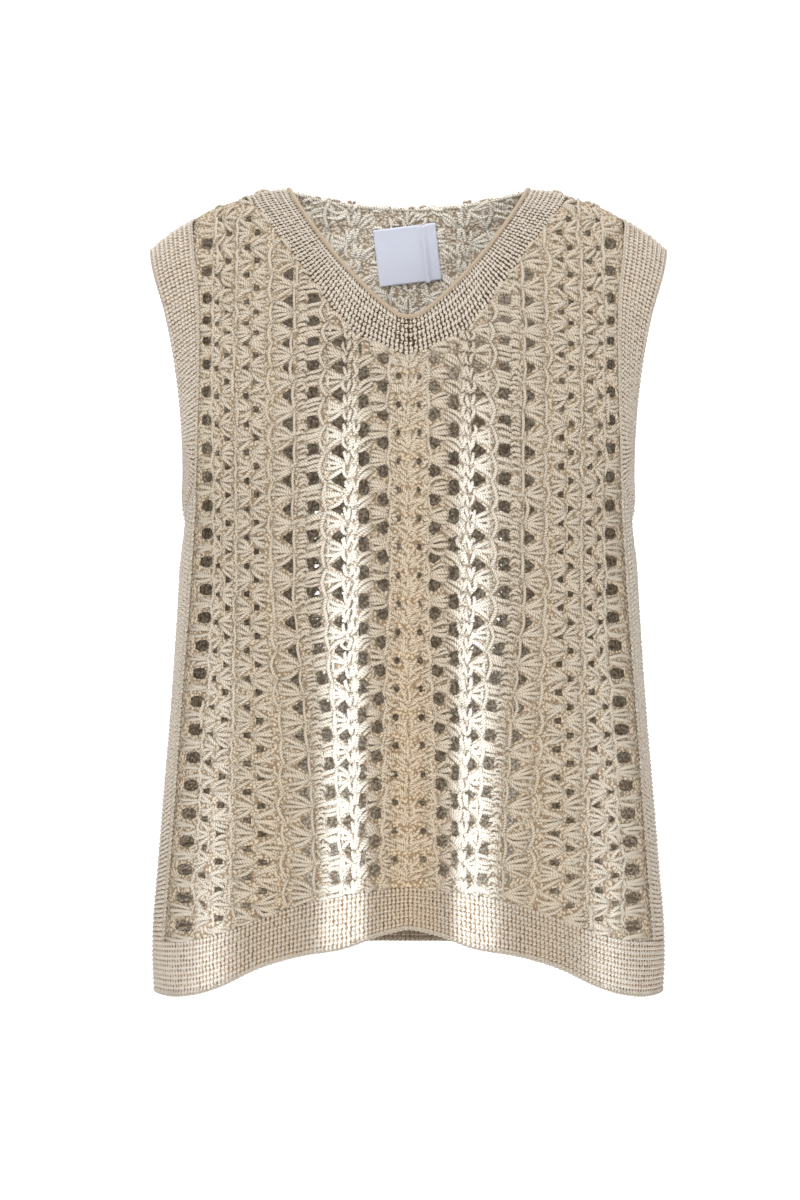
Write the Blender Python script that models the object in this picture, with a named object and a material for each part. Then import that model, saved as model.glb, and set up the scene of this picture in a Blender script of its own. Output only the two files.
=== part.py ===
"""Sleeveless V-neck top, crocheted in thick cream cotton.

The top is filled out as on a general figure. Its front faces -Y and its left side is at +X. The origin lies
midway between the shoulders, level with their middle. Every size below is in millimetres, and the mesh is made
in metres.

The cloth follows one closed body: at each height an ellipse with its own half width, front depth and back depth.
A place on it is given by its height and its turn, the angle from the centre front (0) over the side (90 degrees)
to the centre back (180 degrees). The armhole bands alone leave this body, to reach the armholes' free edges.
"""

import math
from collections import namedtuple

import bpy
import bmesh
import numpy as np

MM = 0.001
SIDE_TURN = math.pi / 2

# Cloth
WALL = 3.0
SEAM_GAP = 0.3
HALF_GAP = SEAM_GAP / 2
ROLLED_EDGE_RISE = 1.4
CHAIN_RISE = 1.5

# Body sections, from the neck end of the shoulder line to the lowest point of the hem
Section = namedtuple("Section", "height half_width front_depth back_depth")
SECTIONS = [
    Section(10.2, 101.0, 8.0, 9.0),
    Section(8.5, 119.0, 15.0, 17.0),
    Section(3.4, 136.5, 24.0, 28.0),
    Section(-6.8, 167.0, 36.0, 42.0),
    Section(-15.0, 181.5, 44.0, 50.0),
    Section(-30.0, 207.0, 56.0, 61.0),
    Section(-42.0, 220.0, 64.0, 68.0),
    Section(-70.0, 238.0, 82.0, 82.0),
    Section(-105.0, 246.0, 98.0, 94.0),
    Section(-145.0, 242.0, 109.0, 101.0),
    Section(-185.0, 225.0, 114.0, 104.0),
    Section(-220.0, 203.0, 115.0, 104.0),
    Section(-250.0, 192.0, 114.0, 102.0),
    Section(-317.0, 194.7, 111.0, 98.0),
    Section(-425.0, 201.5, 110.0, 97.0),
    Section(-551.0, 212.0, 114.0, 104.0),
    Section(-640.0, 217.8, 119.0, 110.0),
    Section(-680.0, 216.0, 121.0, 112.0),
]

# Soft folds: where each lies on the panel at its top and at the hem, how wide it is, and how far it stands out
# (or, below zero, sinks in) at its top and at the hem
Fold = namedtuple("Fold", "name top_height across_top across_hem width rise_top rise_hem")
FRONT_FOLDS = [
    Fold("centre trough", -135.0, 0.0, 1.0, 27.0, -5.0, -19.0),
    Fold("left ridge", -140.0, 50.0, 51.0, 20.0, 2.0, 7.0),
    Fold("right ridge", -140.0, -50.0, -51.0, 20.0, 2.5, 8.0),
    Fold("left hollow", -230.0, 112.0, 112.0, 26.0, 0.0, -7.0),
    Fold("right hollow", -250.0, -108.0, -114.0, 28.0, 0.0, -8.0),
    Fold("left outer ridge", -300.0, 160.0, 168.0, 20.0, 0.0, 5.0),
    Fold("right outer ridge", -280.0, -158.0, -166.0, 20.0, 0.0, 6.0),
]
BACK_FOLDS = [
    Fold("left ridge", -200.0, 62.0, 76.0, 30.0, 0.0, 9.0),
    Fold("right ridge", -230.0, -54.0, -70.0, 28.0, 0.0, 10.0),
    Fold("centre hollow", -260.0, 6.0, 2.0, 30.0, 0.0, -9.0),
    Fold("left hollow", -320.0, 128.0, 134.0, 26.0, 0.0, -7.0),
    Fold("right hollow", -300.0, -122.0, -128.0, 26.0, 0.0, -6.0),
]
FOLD_END_HEIGHT = -650.0

# Seam between the panels and the armhole bands and side strips
SeamPoint = namedtuple("SeamPoint", "height across")
SIDE_SEAM = [
    SeamPoint(-15.0, 181.5),
    SeamPoint(-45.0, 181.0),
    SeamPoint(-75.0, 177.0),
    SeamPoint(-160.0, 175.5),
    SeamPoint(-216.0, 178.0),
    SeamPoint(-325.0, 184.0),
    SeamPoint(-437.0, 192.5),
    SeamPoint(-547.0, 200.0),
    SeamPoint(-625.0, 206.0),
]

# Front neck: the V band's inner and outer edges, from the centre to the shoulder
NeckPoint = namedtuple("NeckPoint", "across height")
NECK_INNER = [
    NeckPoint(0.0, -106.0),
    NeckPoint(8.6, -102.2),
    NeckPoint(36.8, -77.8),
    NeckPoint(66.3, -43.9),
    NeckPoint(90.0, -9.0),
    NeckPoint(101.0, 10.2),
]
NECK_OUTER = [
    NeckPoint(0.0, -139.0),
    NeckPoint(22.6, -130.5),
    NeckPoint(50.7, -114.2),
    NeckPoint(76.7, -78.5),
    NeckPoint(99.0, -46.6),
    NeckPoint(115.8, -24.2),
    NeckPoint(136.0, 3.6),
]
NECK_SIDE = NECK_INNER[-1].across
NECK_BAND_OUTER_END = NECK_OUTER[-1].across
NECK_GAP_DOWN = 0.25
NECK_BAND_ROWS = 5
BACK_NECK_CENTRE = -2.0

# Hem: heights of the hem band's upper and lower edges, by how far across the half width they lie
HemPoint = namedtuple("HemPoint", "share front_top front_bottom back_top back_bottom")
HEM = [
    HemPoint(0.00, -577.0, -610.5, -597.0, -638.0),
    HemPoint(0.14, -578.5, -617.0, -597.5, -638.5),
    HemPoint(0.24, -581.0, -624.5, -599.0, -640.0),
    HemPoint(0.42, -591.5, -633.0, -604.0, -645.0),
    HemPoint(0.58, -603.5, -644.5, -610.0, -651.5),
    HemPoint(0.72, -616.0, -659.5, -617.0, -660.0),
    HemPoint(0.83, -623.0, -668.0, -623.0, -666.5),
    HemPoint(0.92, -626.0, -671.5, -626.0, -671.0),
    HemPoint(1.00, -628.0, -671.0, -628.0, -671.0),
]
HEM_BAND_ROWS = 4

# Armhole: an oval free edge seen from the side, and its distance from the centre line
ARMHOLE_TOP = -42.0
ARMHOLE_BOTTOM = -240.0
ARMHOLE_HALF_DEPTH = 48.0
ArmholePoint = namedtuple("ArmholePoint", "height across")
ARMHOLE_EDGE = [
    ArmholePoint(-42.0, 219.5),
    ArmholePoint(-60.0, 216.0),
    ArmholePoint(-100.0, 204.5),
    ArmholePoint(-144.0, 196.0),
    ArmholePoint(-173.0, 192.5),
    ArmholePoint(-212.0, 190.5),
    ArmholePoint(-240.0, 191.0),
]
BAND_SEAM_TOP = -15.0
UNDERARM_ROW = 10
UNDERARM_SAG = 28.0
UNDERARM_TURN = math.radians(150)
BAND_CROWN = 4.0
BAND_ROWS = 4

# Openwork: the upright lines of the panels. A line has its distance from the centre at chest, waist and hem, how
# far the rows sit lower on it, and half a gap's height there as a share of the row pitch. Gaps lie between the
# two lines that share a column name.
Line = namedtuple("Line", "column chest waist hem drop half_gap rise on_back")
LINES = [
    Line("centre", 0.0, 0.0, 0.0, 8.0, 0.25, 0.0, True),
    Line("strand", 21.4, 26.7, 30.8, 10.0, 0.25, 0.8, False),
    Line("C4", 33.3, 34.9, 35.8, 6.6, 0.28, 0.0, False),
    Line("C4", 40.7, 41.5, 40.2, 6.6, 0.28, 0.0, True),
    Line("chain", 46.9, 45.3, 42.6, 3.0, 0.25, CHAIN_RISE, True),
    Line("C3", 51.8, 48.9, 45.0, 0.0, 0.333, 0.0, True),
    Line("C3", 62.5, 58.0, 52.0, 0.0, 0.08, 0.0, True),
    Line("C2", 74.8, 64.5, 57.0, -0.8, 0.22, 0.0, True),
    Line("C2", 83.8, 72.7, 65.0, -0.8, 0.24, 0.0, True),
    Line("C1", 96.2, 87.1, 77.5, 0.8, 0.30, 0.0, False),
    Line("C1", 103.6, 94.5, 85.0, 0.8, 0.08, 0.0, False),
    Line("shoulder", 117.0, 112.0, 106.0, 0.0, 0.20, 0.8, False),
    Line("neck side", 136.0, 136.0, 136.0, 0.0, 0.20, 1.0, True),
    Line("outer rib", 154.0, 157.0, 163.0, 0.0, 0.20, 1.2, True),
    Line("outer", 168.5, 177.0, 188.0, 0.0, 0.20, 0.0, True),
]
BACK_NECK_LINE = Line("neck corner", 101.0, 101.0, 101.0, 0.0, 0.20, 0.8, True)
SEAM_LINE = Line("seam", None, None, None, 0.0, 0.20, 0.0, True)
CHEST_HEIGHT = -340.0
WAIST_HEIGHT = -430.0
LINE_END_HEIGHT = -560.0
FRONT_CUT = ("C1", "C2", "C3", "C4")
BACK_CUT = ("C2", "C3")

# Openwork rows: the first ones by hand, where the neck draws them together, then an even pitch
UPPER_ROWS = [-18.0, -44.0, -68.0, -92.0, -110.0, -127.0, -147.5]
ROW_PITCH = 23.4
ROW_COUNT = 25
LEAST_STEP = 3.0

# Label, sewn inside the back neck
LABEL_WIDTH = 54.5
LABEL_HEIGHT = 48.0
LABEL_CENTRE = (-0.9, -38.5)
LABEL_TILT = math.radians(6.8)
LABEL_THICKNESS = 0.8
LABEL_CLEARANCE = 1.6
LABEL_COLUMNS = 8
LABEL_ROWS = 7


def smooth(table, key, value, at):
    """Read a table's column on a smooth curve through its rows."""
    keys = np.array([getattr(row, key) for row in table], float)
    values = np.array([getattr(row, value) for row in table], float)
    order = np.argsort(keys)
    keys, values = keys[order], values[order]
    slopes = np.gradient(values, keys)
    at = np.clip(at, keys[0], keys[-1])
    cell = np.clip(np.searchsorted(keys, at) - 1, 0, len(keys) - 2)
    width = keys[cell + 1] - keys[cell]
    u = (at - keys[cell]) / width
    start = (1 + 2 * u) * (1 - u) ** 2 * values[cell] + u * (1 - u) ** 2 * width * slopes[cell]
    end = u * u * (3 - 2 * u) * values[cell + 1] - u * u * (1 - u) * width * slopes[cell + 1]
    return start + end


def section(height, turn):
    """Half width and depth of the body at a height, the depth on the side that the turn faces."""
    half_width = smooth(SECTIONS, "height", "half_width", height)
    side = "front_depth" if math.cos(turn) >= 0 else "back_depth"
    return half_width, smooth(SECTIONS, "height", side, height)


def fold_rise(across, height, turn):
    """How far the folds push the cloth out at a place, fading to nothing at the sides."""
    rise = 0.0
    for fold in FRONT_FOLDS if math.cos(turn) >= 0 else BACK_FOLDS:
        down = (fold.top_height - height) / (fold.top_height - FOLD_END_HEIGHT)
        if down <= 0:
            continue
        down = min(down, 1.0)
        centre = fold.across_top + (fold.across_hem - fold.across_top) * down
        strength = fold.rise_top + (fold.rise_hem - fold.rise_top) * down
        ease = min(down / 0.15, 1.0)
        rise += ease * strength * math.exp(-((across - centre) / fold.width) ** 2)
    return rise * math.cos(turn) ** 2


def body(turn, height):
    """Point on the cloth's outer face, and its outward direction."""
    half_width, depth = section(height, turn)
    step = 1.0
    above = section(min(height + step, SECTIONS[0].height), turn)
    below = section(height - step, turn)
    span = min(height + step, SECTIONS[0].height) - (height - step)
    sine, cosine = math.sin(turn), math.cos(turn)
    across = half_width * sine
    sign = 1 if cosine >= 0 else -1
    out_y = -depth * cosine - sign * fold_rise(across, height, turn)
    width_slope = (above[0] - below[0]) / span
    depth_slope = (above[1] - below[1]) / span
    lean = -(sine**2 * width_slope / half_width + cosine**2 * depth_slope / depth)
    outward = np.array([sine / half_width, -cosine / depth, lean])
    return np.array([across, out_y, height]), outward / np.linalg.norm(outward)


def turn_at(across, height, back=False):
    """Turn of the place that lies a signed distance from the centre line, clear of the side line."""
    half_width, depth = section(height, math.pi if back else 0.0)
    turn = math.asin(max(-1.0, min(1.0, across / half_width)))
    limit = SIDE_TURN - HALF_GAP / depth
    turn = max(-limit, min(limit, turn))
    if back:
        turn = math.copysign(math.pi, turn) - turn if turn else math.pi
    return turn


def along_surface(turn, height, distance):
    """Turn of the place a short distance further round the section."""
    half_width, depth = section(height, turn)
    speed = math.hypot(half_width * math.cos(turn), depth * math.sin(turn))
    return turn + distance / speed


def shoulder_height(across):
    """Height of the shoulder line, where the section is just as wide as this distance."""
    heights = np.linspace(SECTIONS[0].height, ARMHOLE_TOP, 400)
    widths = smooth(SECTIONS, "height", "half_width", heights)
    return float(np.interp(abs(across), widths, heights))


def hem_height(turn, edge):
    """Height of the hem band's top or bottom edge at a turn."""
    side = "front_" if math.cos(turn) >= 0 else "back_"
    return float(smooth(HEM, "share", side + edge, abs(math.sin(turn))))


def neck_height(table, across):
    """Height of one edge of the V band at a distance from the centre line."""
    return float(smooth(table, "across", "height", abs(across)))


def back_neck_height(across):
    """Height of the back neck edge, a shallow curve up to the shoulders."""
    rise = SECTIONS[0].height - BACK_NECK_CENTRE
    return BACK_NECK_CENTRE + rise * (across / NECK_SIDE) ** 2


def seam_across(height):
    """Distance from the centre line of the seam at the panels' outer edge."""
    return float(smooth(SIDE_SEAM, "height", "across", height))


def line_across(line, height):
    """Distance of an upright line from the centre at a height."""
    heights = [LINE_END_HEIGHT, WAIST_HEIGHT, CHEST_HEIGHT]
    return float(np.interp(height, heights, [line.hem, line.waist, line.chest]))


def row_heights():
    """Heights of the openwork rows and their local pitch."""
    rows = list(UPPER_ROWS)
    while len(rows) < ROW_COUNT:
        rows.append(rows[-1] - ROW_PITCH)
    pitches = [-pitch for pitch in np.gradient(rows)]
    return list(zip(rows, pitches))


def make_object(name, vertices, faces, material, collection):
    """Turn points in millimetres and faces into an object with outward normals."""
    mesh = bpy.data.meshes.new(name)
    work = bmesh.new()
    points = [work.verts.new(vertex * MM) for vertex in vertices]
    for face in faces:
        work.faces.new([points[index] for index in face])
    bmesh.ops.recalc_face_normals(work, faces=work.faces)
    work.to_mesh(mesh)
    work.free()
    mesh.materials.append(material)
    mesh.shade_smooth()
    mesh.set_sharp_from_angle(angle=math.radians(35))
    piece = bpy.data.objects.new(name, mesh)
    collection.objects.link(piece)
    return piece


def wall(name, points, outward, faces, rises, material, collection, thickness=WALL):
    """Loft a plain inside to a raised outside, and close it along every free edge of the sheet."""
    outer = [point + way * rise for point, way, rise in zip(points, outward, rises)]
    inner = [point - way * thickness for point, way in zip(points, outward)]
    count = len(points)
    shell = [list(face) for face in faces]
    shell += [[index + count for index in reversed(face)] for face in faces]
    uses = {}
    for face in faces:
        for first, second in zip(face, face[1:] + face[:1]):
            uses[(first, second)] = True
    for first, second in uses:
        if (second, first) not in uses:
            shell.append([second, first, first + count, second + count])
    used = sorted({index for face in shell for index in face})
    place = {old: new for new, old in enumerate(used)}
    both = outer + inner
    vertices = [both[index] for index in used]
    renumbered = [[place[index] for index in face] for face in shell]
    return make_object(name, vertices, renumbered, material, collection)


def grid_faces(columns, rows, closed=False):
    """Quads of a grid whose points are listed column by column."""
    faces = []
    for column in range(columns if closed else columns - 1):
        following = (column + 1) % columns
        for row in range(rows - 1):
            faces.append([column * rows + row, column * rows + row + 1,
                          following * rows + row + 1, following * rows + row])
    return faces


def panel_lines(back):
    """Upright lines of a panel from its right edge to its left, each with the side it lies on."""
    half = [line for line in LINES if line.on_back or not back]
    if back:
        half.append(BACK_NECK_LINE)
        half.sort(key=lambda line: line.chest)
    mirrored = [(line, -1) for line in reversed(half[1:])]
    return [(SEAM_LINE, -1)] + mirrored + [(line, 1) for line in half] + [(SEAM_LINE, 1)]


def panel_top(line, across, back):
    """Height of a panel's upper edge on one line."""
    if line.column == "seam":
        return BAND_SEAM_TOP
    if back and across <= NECK_SIDE:
        return back_neck_height(across)
    if not back and across <= NECK_BAND_OUTER_END:
        return neck_height(NECK_OUTER, across) - NECK_GAP_DOWN
    return shoulder_height(across)


def panel_bottom(line, back):
    """Height of a panel's lower edge on one line, just above the hem band."""
    height = HEM[-1].front_top
    for _ in range(6):
        across = seam_across(height) if line.column == "seam" else line_across(line, height)
        height = hem_height(turn_at(across, height, back), "top")
    return height + HALF_GAP


def panel_place(line, side, height, back):
    """Point and outward direction of a panel on one line at a height."""
    if line.column == "seam":
        turn = along_surface(turn_at(seam_across(height), height), height, -HALF_GAP)
        turn = min(turn, turn_at(math.inf, height))
        turn = side * (math.pi - turn if back else turn)
    else:
        turn = turn_at(side * line_across(line, height), height, back)
    return body(turn, height)


def panel_levels(line, back):
    """Heights of a line's points from top to bottom: two for each row, held inside the panel's edges."""
    top = panel_top(line, line.chest or 0.0, back)
    bottom = panel_bottom(line, back)
    levels = [top]
    for height, pitch in row_heights():
        middle = height - line.drop
        for level in (middle + line.half_gap * pitch, middle - line.half_gap * pitch):
            if level > top - LEAST_STEP:
                level = top
            elif level < bottom + LEAST_STEP:
                level = bottom
            levels.append(level)
    levels.append(bottom)
    return levels


def make_panel(name, back, cuts, material, collection):
    """Openwork panel: a grid whose points follow the gaps' corners, with the named columns cut through."""
    lines = panel_lines(back)
    points, outward, rises, ids = [], [], [], []
    for line, side in lines:
        levels = panel_levels(line, back)
        column = []
        for index, level in enumerate(levels):
            if index and level == levels[index - 1]:
                column.append(column[-1])
                continue
            place, way = panel_place(line, side, level, back)
            points.append(place)
            outward.append(way)
            rises.append(line.rise if 0 < index < len(levels) - 1 else 0.0)
            column.append(len(points) - 1)
        ids.append(column)
    faces, gaps = [], 0
    for number in range(len(lines) - 1):
        left, right = ids[number], ids[number + 1]
        name_left, name_right = lines[number][0].column, lines[number + 1][0].column
        for level in range(len(left) - 1):
            corners = [left[level], left[level + 1], right[level + 1], right[level]]
            kept = [corner for index, corner in enumerate(corners) if corner != corners[index - 1]]
            if len(kept) < 3:
                continue
            in_row = level % 2 == 1
            inside = len(kept) == 4 and left[0] not in kept and right[0] not in kept
            inside = inside and left[-1] not in kept and right[-1] not in kept
            if in_row and inside and name_left == name_right and name_left in cuts:
                gaps += 1
                continue
            faces.append(kept)
    piece = wall(name, points, outward, faces, rises, material, collection)
    piece["gaps"] = gaps
    return piece


def make_neck_band(material, collection):
    """V band between the panel's neck edge and the neck opening, with a rolled inner edge."""
    stations = [line.chest for line in LINES if line.chest <= NECK_BAND_OUTER_END]
    signed = [-across for across in reversed(stations[1:])] + stations
    points, outward, rises = [], [], []
    for station in signed:
        share = abs(station) / NECK_BAND_OUTER_END
        side = math.copysign(1.0, station)
        outer = (abs(station), neck_height(NECK_OUTER, station) + NECK_GAP_DOWN)
        inner_across = NECK_SIDE * share
        inner = (inner_across, neck_height(NECK_INNER, inner_across))
        for row in range(NECK_BAND_ROWS):
            step = row / (NECK_BAND_ROWS - 1)
            across = outer[0] + (inner[0] - outer[0]) * step
            height = outer[1] + (inner[1] - outer[1]) * step
            if share == 1:
                height = shoulder_height(across)
            place, way = body(turn_at(side * across, height), height)
            points.append(place)
            outward.append(way)
            rises.append(ROLLED_EDGE_RISE if row == NECK_BAND_ROWS - 1 else 0.0)
    faces = grid_faces(len(signed), NECK_BAND_ROWS)
    return wall("neck_band", points, outward, faces, rises, material, collection)


def seam_levels():
    """Heights of the panels' points on the side seam, above and below the corner where the side strip starts."""
    levels = sorted(set(panel_levels(SEAM_LINE, False)), reverse=True)
    row, pitch = row_heights()[UNDERARM_ROW]
    corner = row - SEAM_LINE.drop - SEAM_LINE.half_gap * pitch
    above = [level for level in levels if level > corner + LEAST_STEP]
    below = [level for level in levels if level < corner - LEAST_STEP]
    return above + [corner], [corner] + below


def underarm_place(step):
    """Turn and height on the seam below the armhole, from the panel's seam (0) to the side line (1)."""
    height = seam_levels()[1][0] - UNDERARM_SAG * math.sin(step * SIDE_TURN)
    start = turn_at(seam_across(height), height)
    return start + (SIDE_TURN - start) * step, height


def armhole_stations():
    """Front half of the ring: turn and height on the seam, and the angle round the armhole's free edge."""
    levels = seam_levels()[0]
    stations = []
    for height in levels[:-1]:
        step = ((levels[0] - height) / (levels[0] - levels[-1])) ** 0.7
        turn = along_surface(turn_at(seam_across(height), height), height, HALF_GAP)
        if step == 0:
            turn, height = SIDE_TURN, height - SEAM_GAP
        stations.append((turn, height, UNDERARM_TURN * step))
    for step in (0.0, 0.5, 1.0):
        turn, height = underarm_place(step)
        if step == 0:
            turn = along_surface(turn, height, HALF_GAP)
        stations.append((turn, height + HALF_GAP, UNDERARM_TURN + (math.pi - UNDERARM_TURN) * step))
    return stations


def armhole_edge(angle):
    """Point on the armhole's free edge, an oval from the side, at an angle from its top."""
    middle = (ARMHOLE_TOP + ARMHOLE_BOTTOM) / 2
    height = middle + (ARMHOLE_TOP - middle) * math.cos(angle)
    across = float(smooth(ARMHOLE_EDGE, "height", "across", height))
    return np.array([across, -ARMHOLE_HALF_DEPTH * math.sin(angle), height])


def make_armhole_band(name, side, material, collection):
    """Ring round an armhole, crowned a little between its seam and its free edge."""
    front = armhole_stations()
    back = [(math.pi - turn, height, 2 * math.pi - angle) for turn, height, angle in front[1:-1]]
    ring = front + back[::-1]
    grid, ways = [], []
    for turn, height, angle in ring:
        seam, way = body(turn, height)
        edge = armhole_edge(angle)
        crown = (seam + edge) / 2 + way * BAND_CROWN
        steps = np.linspace(0.0, 1.0, BAND_ROWS)
        grid.append([(1 - s) ** 2 * seam + 2 * s * (1 - s) * crown + s * s * edge for s in steps])
        ways.append(way)
    grid = np.array(grid)
    round_ring = np.roll(grid, -1, axis=0) - np.roll(grid, 1, axis=0)
    across_ring = np.gradient(grid, axis=1)
    outward = np.cross(round_ring, across_ring)
    outward /= np.linalg.norm(outward, axis=2, keepdims=True)
    facing = np.sign(np.einsum("ijk,ik->ij", outward, np.array(ways)))
    outward *= facing[:, :, None]
    outward[:, 0] = ways
    mirror = np.array([side, 1.0, 1.0])
    points = list((grid * mirror).reshape(-1, 3))
    outward = list((outward * mirror).reshape(-1, 3))
    faces = grid_faces(len(ring), BAND_ROWS, closed=True)
    return wall(name, points, outward, faces, [0.0] * len(points), material, collection)


def make_side_strip(name, side, material, collection):
    """Strip under an armhole, from the front panel round the side to the back panel."""
    points, outward = [], []
    levels = seam_levels()[1]
    steps = (0.0, 0.5, 1.0, 0.5, 0.0)
    for column, step in enumerate(steps):
        back = column > 2
        top = underarm_place(step)[1] - HALF_GAP
        for level in levels:
            down = (levels[0] - level) / (levels[0] - levels[-1])
            height = level
            for _ in range(3):
                seam = along_surface(turn_at(seam_across(height), height), height, HALF_GAP)
                turn = seam + (SIDE_TURN - seam) * step
                turn = math.pi - turn if back else turn
                bottom = hem_height(turn, "top") + HALF_GAP
                height = top + (bottom - top) * down
            place, way = body(side * turn, height)
            points.append(place)
            outward.append(way)
    faces = grid_faces(len(steps), len(levels))
    return wall(name, points, outward, faces, [0.0] * len(points), material, collection)


def make_hem_band(name, back, material, collection):
    """Half of the hem band, from side line to side line, at the panel's lines and the side strips' columns."""
    turns = []
    for line, side in panel_lines(back):
        bottom = panel_bottom(line, back)
        if line.column == "seam":
            seam = turn_at(seam_across(bottom), bottom)
            for step in (0.0, 0.5, 1.0):
                turn = seam + (SIDE_TURN - seam) * step
                turns.append(side * min(turn, turn_at(math.inf, bottom)))
        else:
            turns.append(turn_at(side * line_across(line, bottom), bottom))
    points, outward = [], []
    turns.sort()
    for turn in turns:
        facing = math.copysign(math.pi, turn) - turn if back else turn
        if back and turn == 0:
            facing = math.pi
        top = hem_height(facing, "top") - HALF_GAP
        bottom = hem_height(facing, "bottom")
        for row in range(HEM_BAND_ROWS):
            place, way = body(facing, top + (bottom - top) * row / (HEM_BAND_ROWS - 1))
            points.append(place)
            outward.append(way)
    faces = grid_faces(len(turns), HEM_BAND_ROWS)
    return wall(name, points, outward, faces, [0.0] * len(points), material, collection)


def make_label(material, collection):
    """Label made from the back panel's inner points, moved further in, and turned a little."""
    points, outward = [], []
    for column in range(LABEL_COLUMNS):
        for row in range(LABEL_ROWS):
            right = (column / (LABEL_COLUMNS - 1) - 0.5) * LABEL_WIDTH
            up = (0.5 - row / (LABEL_ROWS - 1)) * LABEL_HEIGHT
            across = LABEL_CENTRE[0] + right * math.cos(LABEL_TILT) - up * math.sin(LABEL_TILT)
            height = LABEL_CENTRE[1] + right * math.sin(LABEL_TILT) + up * math.cos(LABEL_TILT)
            place, way = body(turn_at(across, height, back=True), height)
            points.append(place - way * (WALL + LABEL_CLEARANCE))
            outward.append(way)
    faces = grid_faces(LABEL_COLUMNS, LABEL_ROWS)
    rises = [0.0] * len(points)
    return wall("label", points, outward, faces, rises, material, collection, LABEL_THICKNESS)


def make_material(name, colour, roughness):
    """Plain cloth material with the photo's colour."""
    material = bpy.data.materials.new(name)
    material.use_nodes = True
    shader = material.node_tree.nodes["Principled BSDF"]
    shader.inputs["Base Color"].default_value = (*colour, 1.0)
    shader.inputs["Roughness"].default_value = roughness
    shader.inputs["Metallic"].default_value = 0.0
    material.diffuse_color = (*colour, 1.0)
    return material


def main():
    """Clear the scene and make every piece."""
    for old in list(bpy.data.objects):
        bpy.data.objects.remove(old)
    collection = bpy.data.collections.new("crochet_top")
    bpy.context.scene.collection.children.link(collection)
    lace = make_material("openwork_yarn", (0.80, 0.70, 0.56), 0.9)
    band = make_material("band_yarn", (0.76, 0.66, 0.52), 0.9)
    satin = make_material("label_satin", (0.74, 0.74, 0.86), 0.45)
    make_panel("front_panel", False, FRONT_CUT, lace, collection)
    make_panel("back_panel", True, BACK_CUT, lace, collection)
    make_neck_band(band, collection)
    for word, side in (("left", 1), ("right", -1)):
        make_armhole_band(f"armhole_band_{word}", side, band, collection)
        make_side_strip(f"side_strip_{word}", side, band, collection)
    make_hem_band("hem_band_front", False, band, collection)
    make_hem_band("hem_band_back", True, band, collection)
    make_label(satin, collection)


main()
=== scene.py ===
"""Looks of a sleeveless V-neck top, crocheted in thick cream cotton.

Every cloth piece is a thin shell on the form of the solid that it replaces, with its yarn laid on it strand by
strand: fans and bars of long stitches between the gaps of the openwork, chains along its columns, and rows of
short stitches in the bands. Lengths are in millimetres until a mesh is made, which is in metres.
"""

from __future__ import annotations

import logging
import math
from dataclasses import dataclass, field
from enum import Enum

import bmesh
import bpy
import numpy as np
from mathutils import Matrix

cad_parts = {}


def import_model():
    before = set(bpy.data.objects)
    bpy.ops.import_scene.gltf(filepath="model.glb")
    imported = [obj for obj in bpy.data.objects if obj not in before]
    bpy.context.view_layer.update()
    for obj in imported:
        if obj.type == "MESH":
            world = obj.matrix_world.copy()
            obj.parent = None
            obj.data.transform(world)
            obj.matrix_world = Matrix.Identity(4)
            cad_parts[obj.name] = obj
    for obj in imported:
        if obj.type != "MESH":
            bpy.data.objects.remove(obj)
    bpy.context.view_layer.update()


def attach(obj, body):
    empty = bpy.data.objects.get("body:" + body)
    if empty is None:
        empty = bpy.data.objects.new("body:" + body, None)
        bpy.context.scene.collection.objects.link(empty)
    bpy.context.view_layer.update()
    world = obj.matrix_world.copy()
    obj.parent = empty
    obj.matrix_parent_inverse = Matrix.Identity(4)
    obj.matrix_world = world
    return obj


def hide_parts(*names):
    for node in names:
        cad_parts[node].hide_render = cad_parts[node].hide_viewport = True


MM = 0.001
SIDE_TURN = math.pi / 2
# Free width of the seams between pieces, depth of the middle of the wall, and thickness of a shell
SEAM_GAP = 0.3
HALF_GAP = SEAM_GAP / 2
NECK_SEAM = 0.25
MID_WALL = 1.5
CLOTH = 0.8
# Painted light of the folds where there is no fold (0 is full painted shade, 1 a full painted highlight), and how
# much lighter the bands are painted
PLAIN_PAINTED_LIGHT = 0.55
BAND_PAINTED_LIGHT_LIFT = 0.08
# Heights from which the hem is looked for, how often, and the depth of the body at its side lines
PANEL_START, PANEL_ROUNDS = -600.0, 4
STRIP_START, STRIP_ROUNDS = -622.0, 5
HEM_SIDE_DEPTH = 115.0
LOG = logging.getLogger("crochet_top")
Array = np.ndarray


class Side(Enum):
    """The two faces of the top that a panel can lie on."""

    FRONT = "front"
    BACK = "back"


@dataclass(frozen=True)
class SmoothTable:
    """A value read on a smooth curve through a short table of keys and values."""

    keys: tuple[float, ...]
    values: tuple[float, ...]

    def at(self, where: Array | float) -> Array:
        """Read the curve: a cubic between neighbouring rows that keeps each row's mean slope.

        Args:
            where: the keys to read at, held inside the table.

        Returns:
            The values there.
        """
        order = np.argsort(self.keys)
        keys = np.array(self.keys, float)[order]
        values = np.array(self.values, float)[order]
        slopes = np.gradient(values, keys)
        where = np.clip(np.asarray(where, float), keys[0], keys[-1])
        cell = np.clip(np.searchsorted(keys, where) - 1, 0, len(keys) - 2)
        width = keys[cell + 1] - keys[cell]
        u = (where - keys[cell]) / width
        start = (1 + 2 * u) * (1 - u) ** 2 * values[cell] + u * (1 - u) ** 2 * width * slopes[cell]
        end = u * u * (3 - 2 * u) * values[cell + 1] - u * u * (1 - u) * width * slopes[cell + 1]
        return start + end


def table_of(rows: list[tuple[float, ...]], key: int, value: int) -> SmoothTable:
    """Take two columns of a list of rows as a smooth table."""
    return SmoothTable(tuple(row[key] for row in rows), tuple(row[value] for row in rows))


@dataclass(frozen=True)
class Fold:
    """A soft fold that runs from a height down to the hem and stands out (or in) by its rise."""

    top_height: float
    across_top: float
    across_hem: float
    width: float
    rise_top: float
    rise_hem: float


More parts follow.
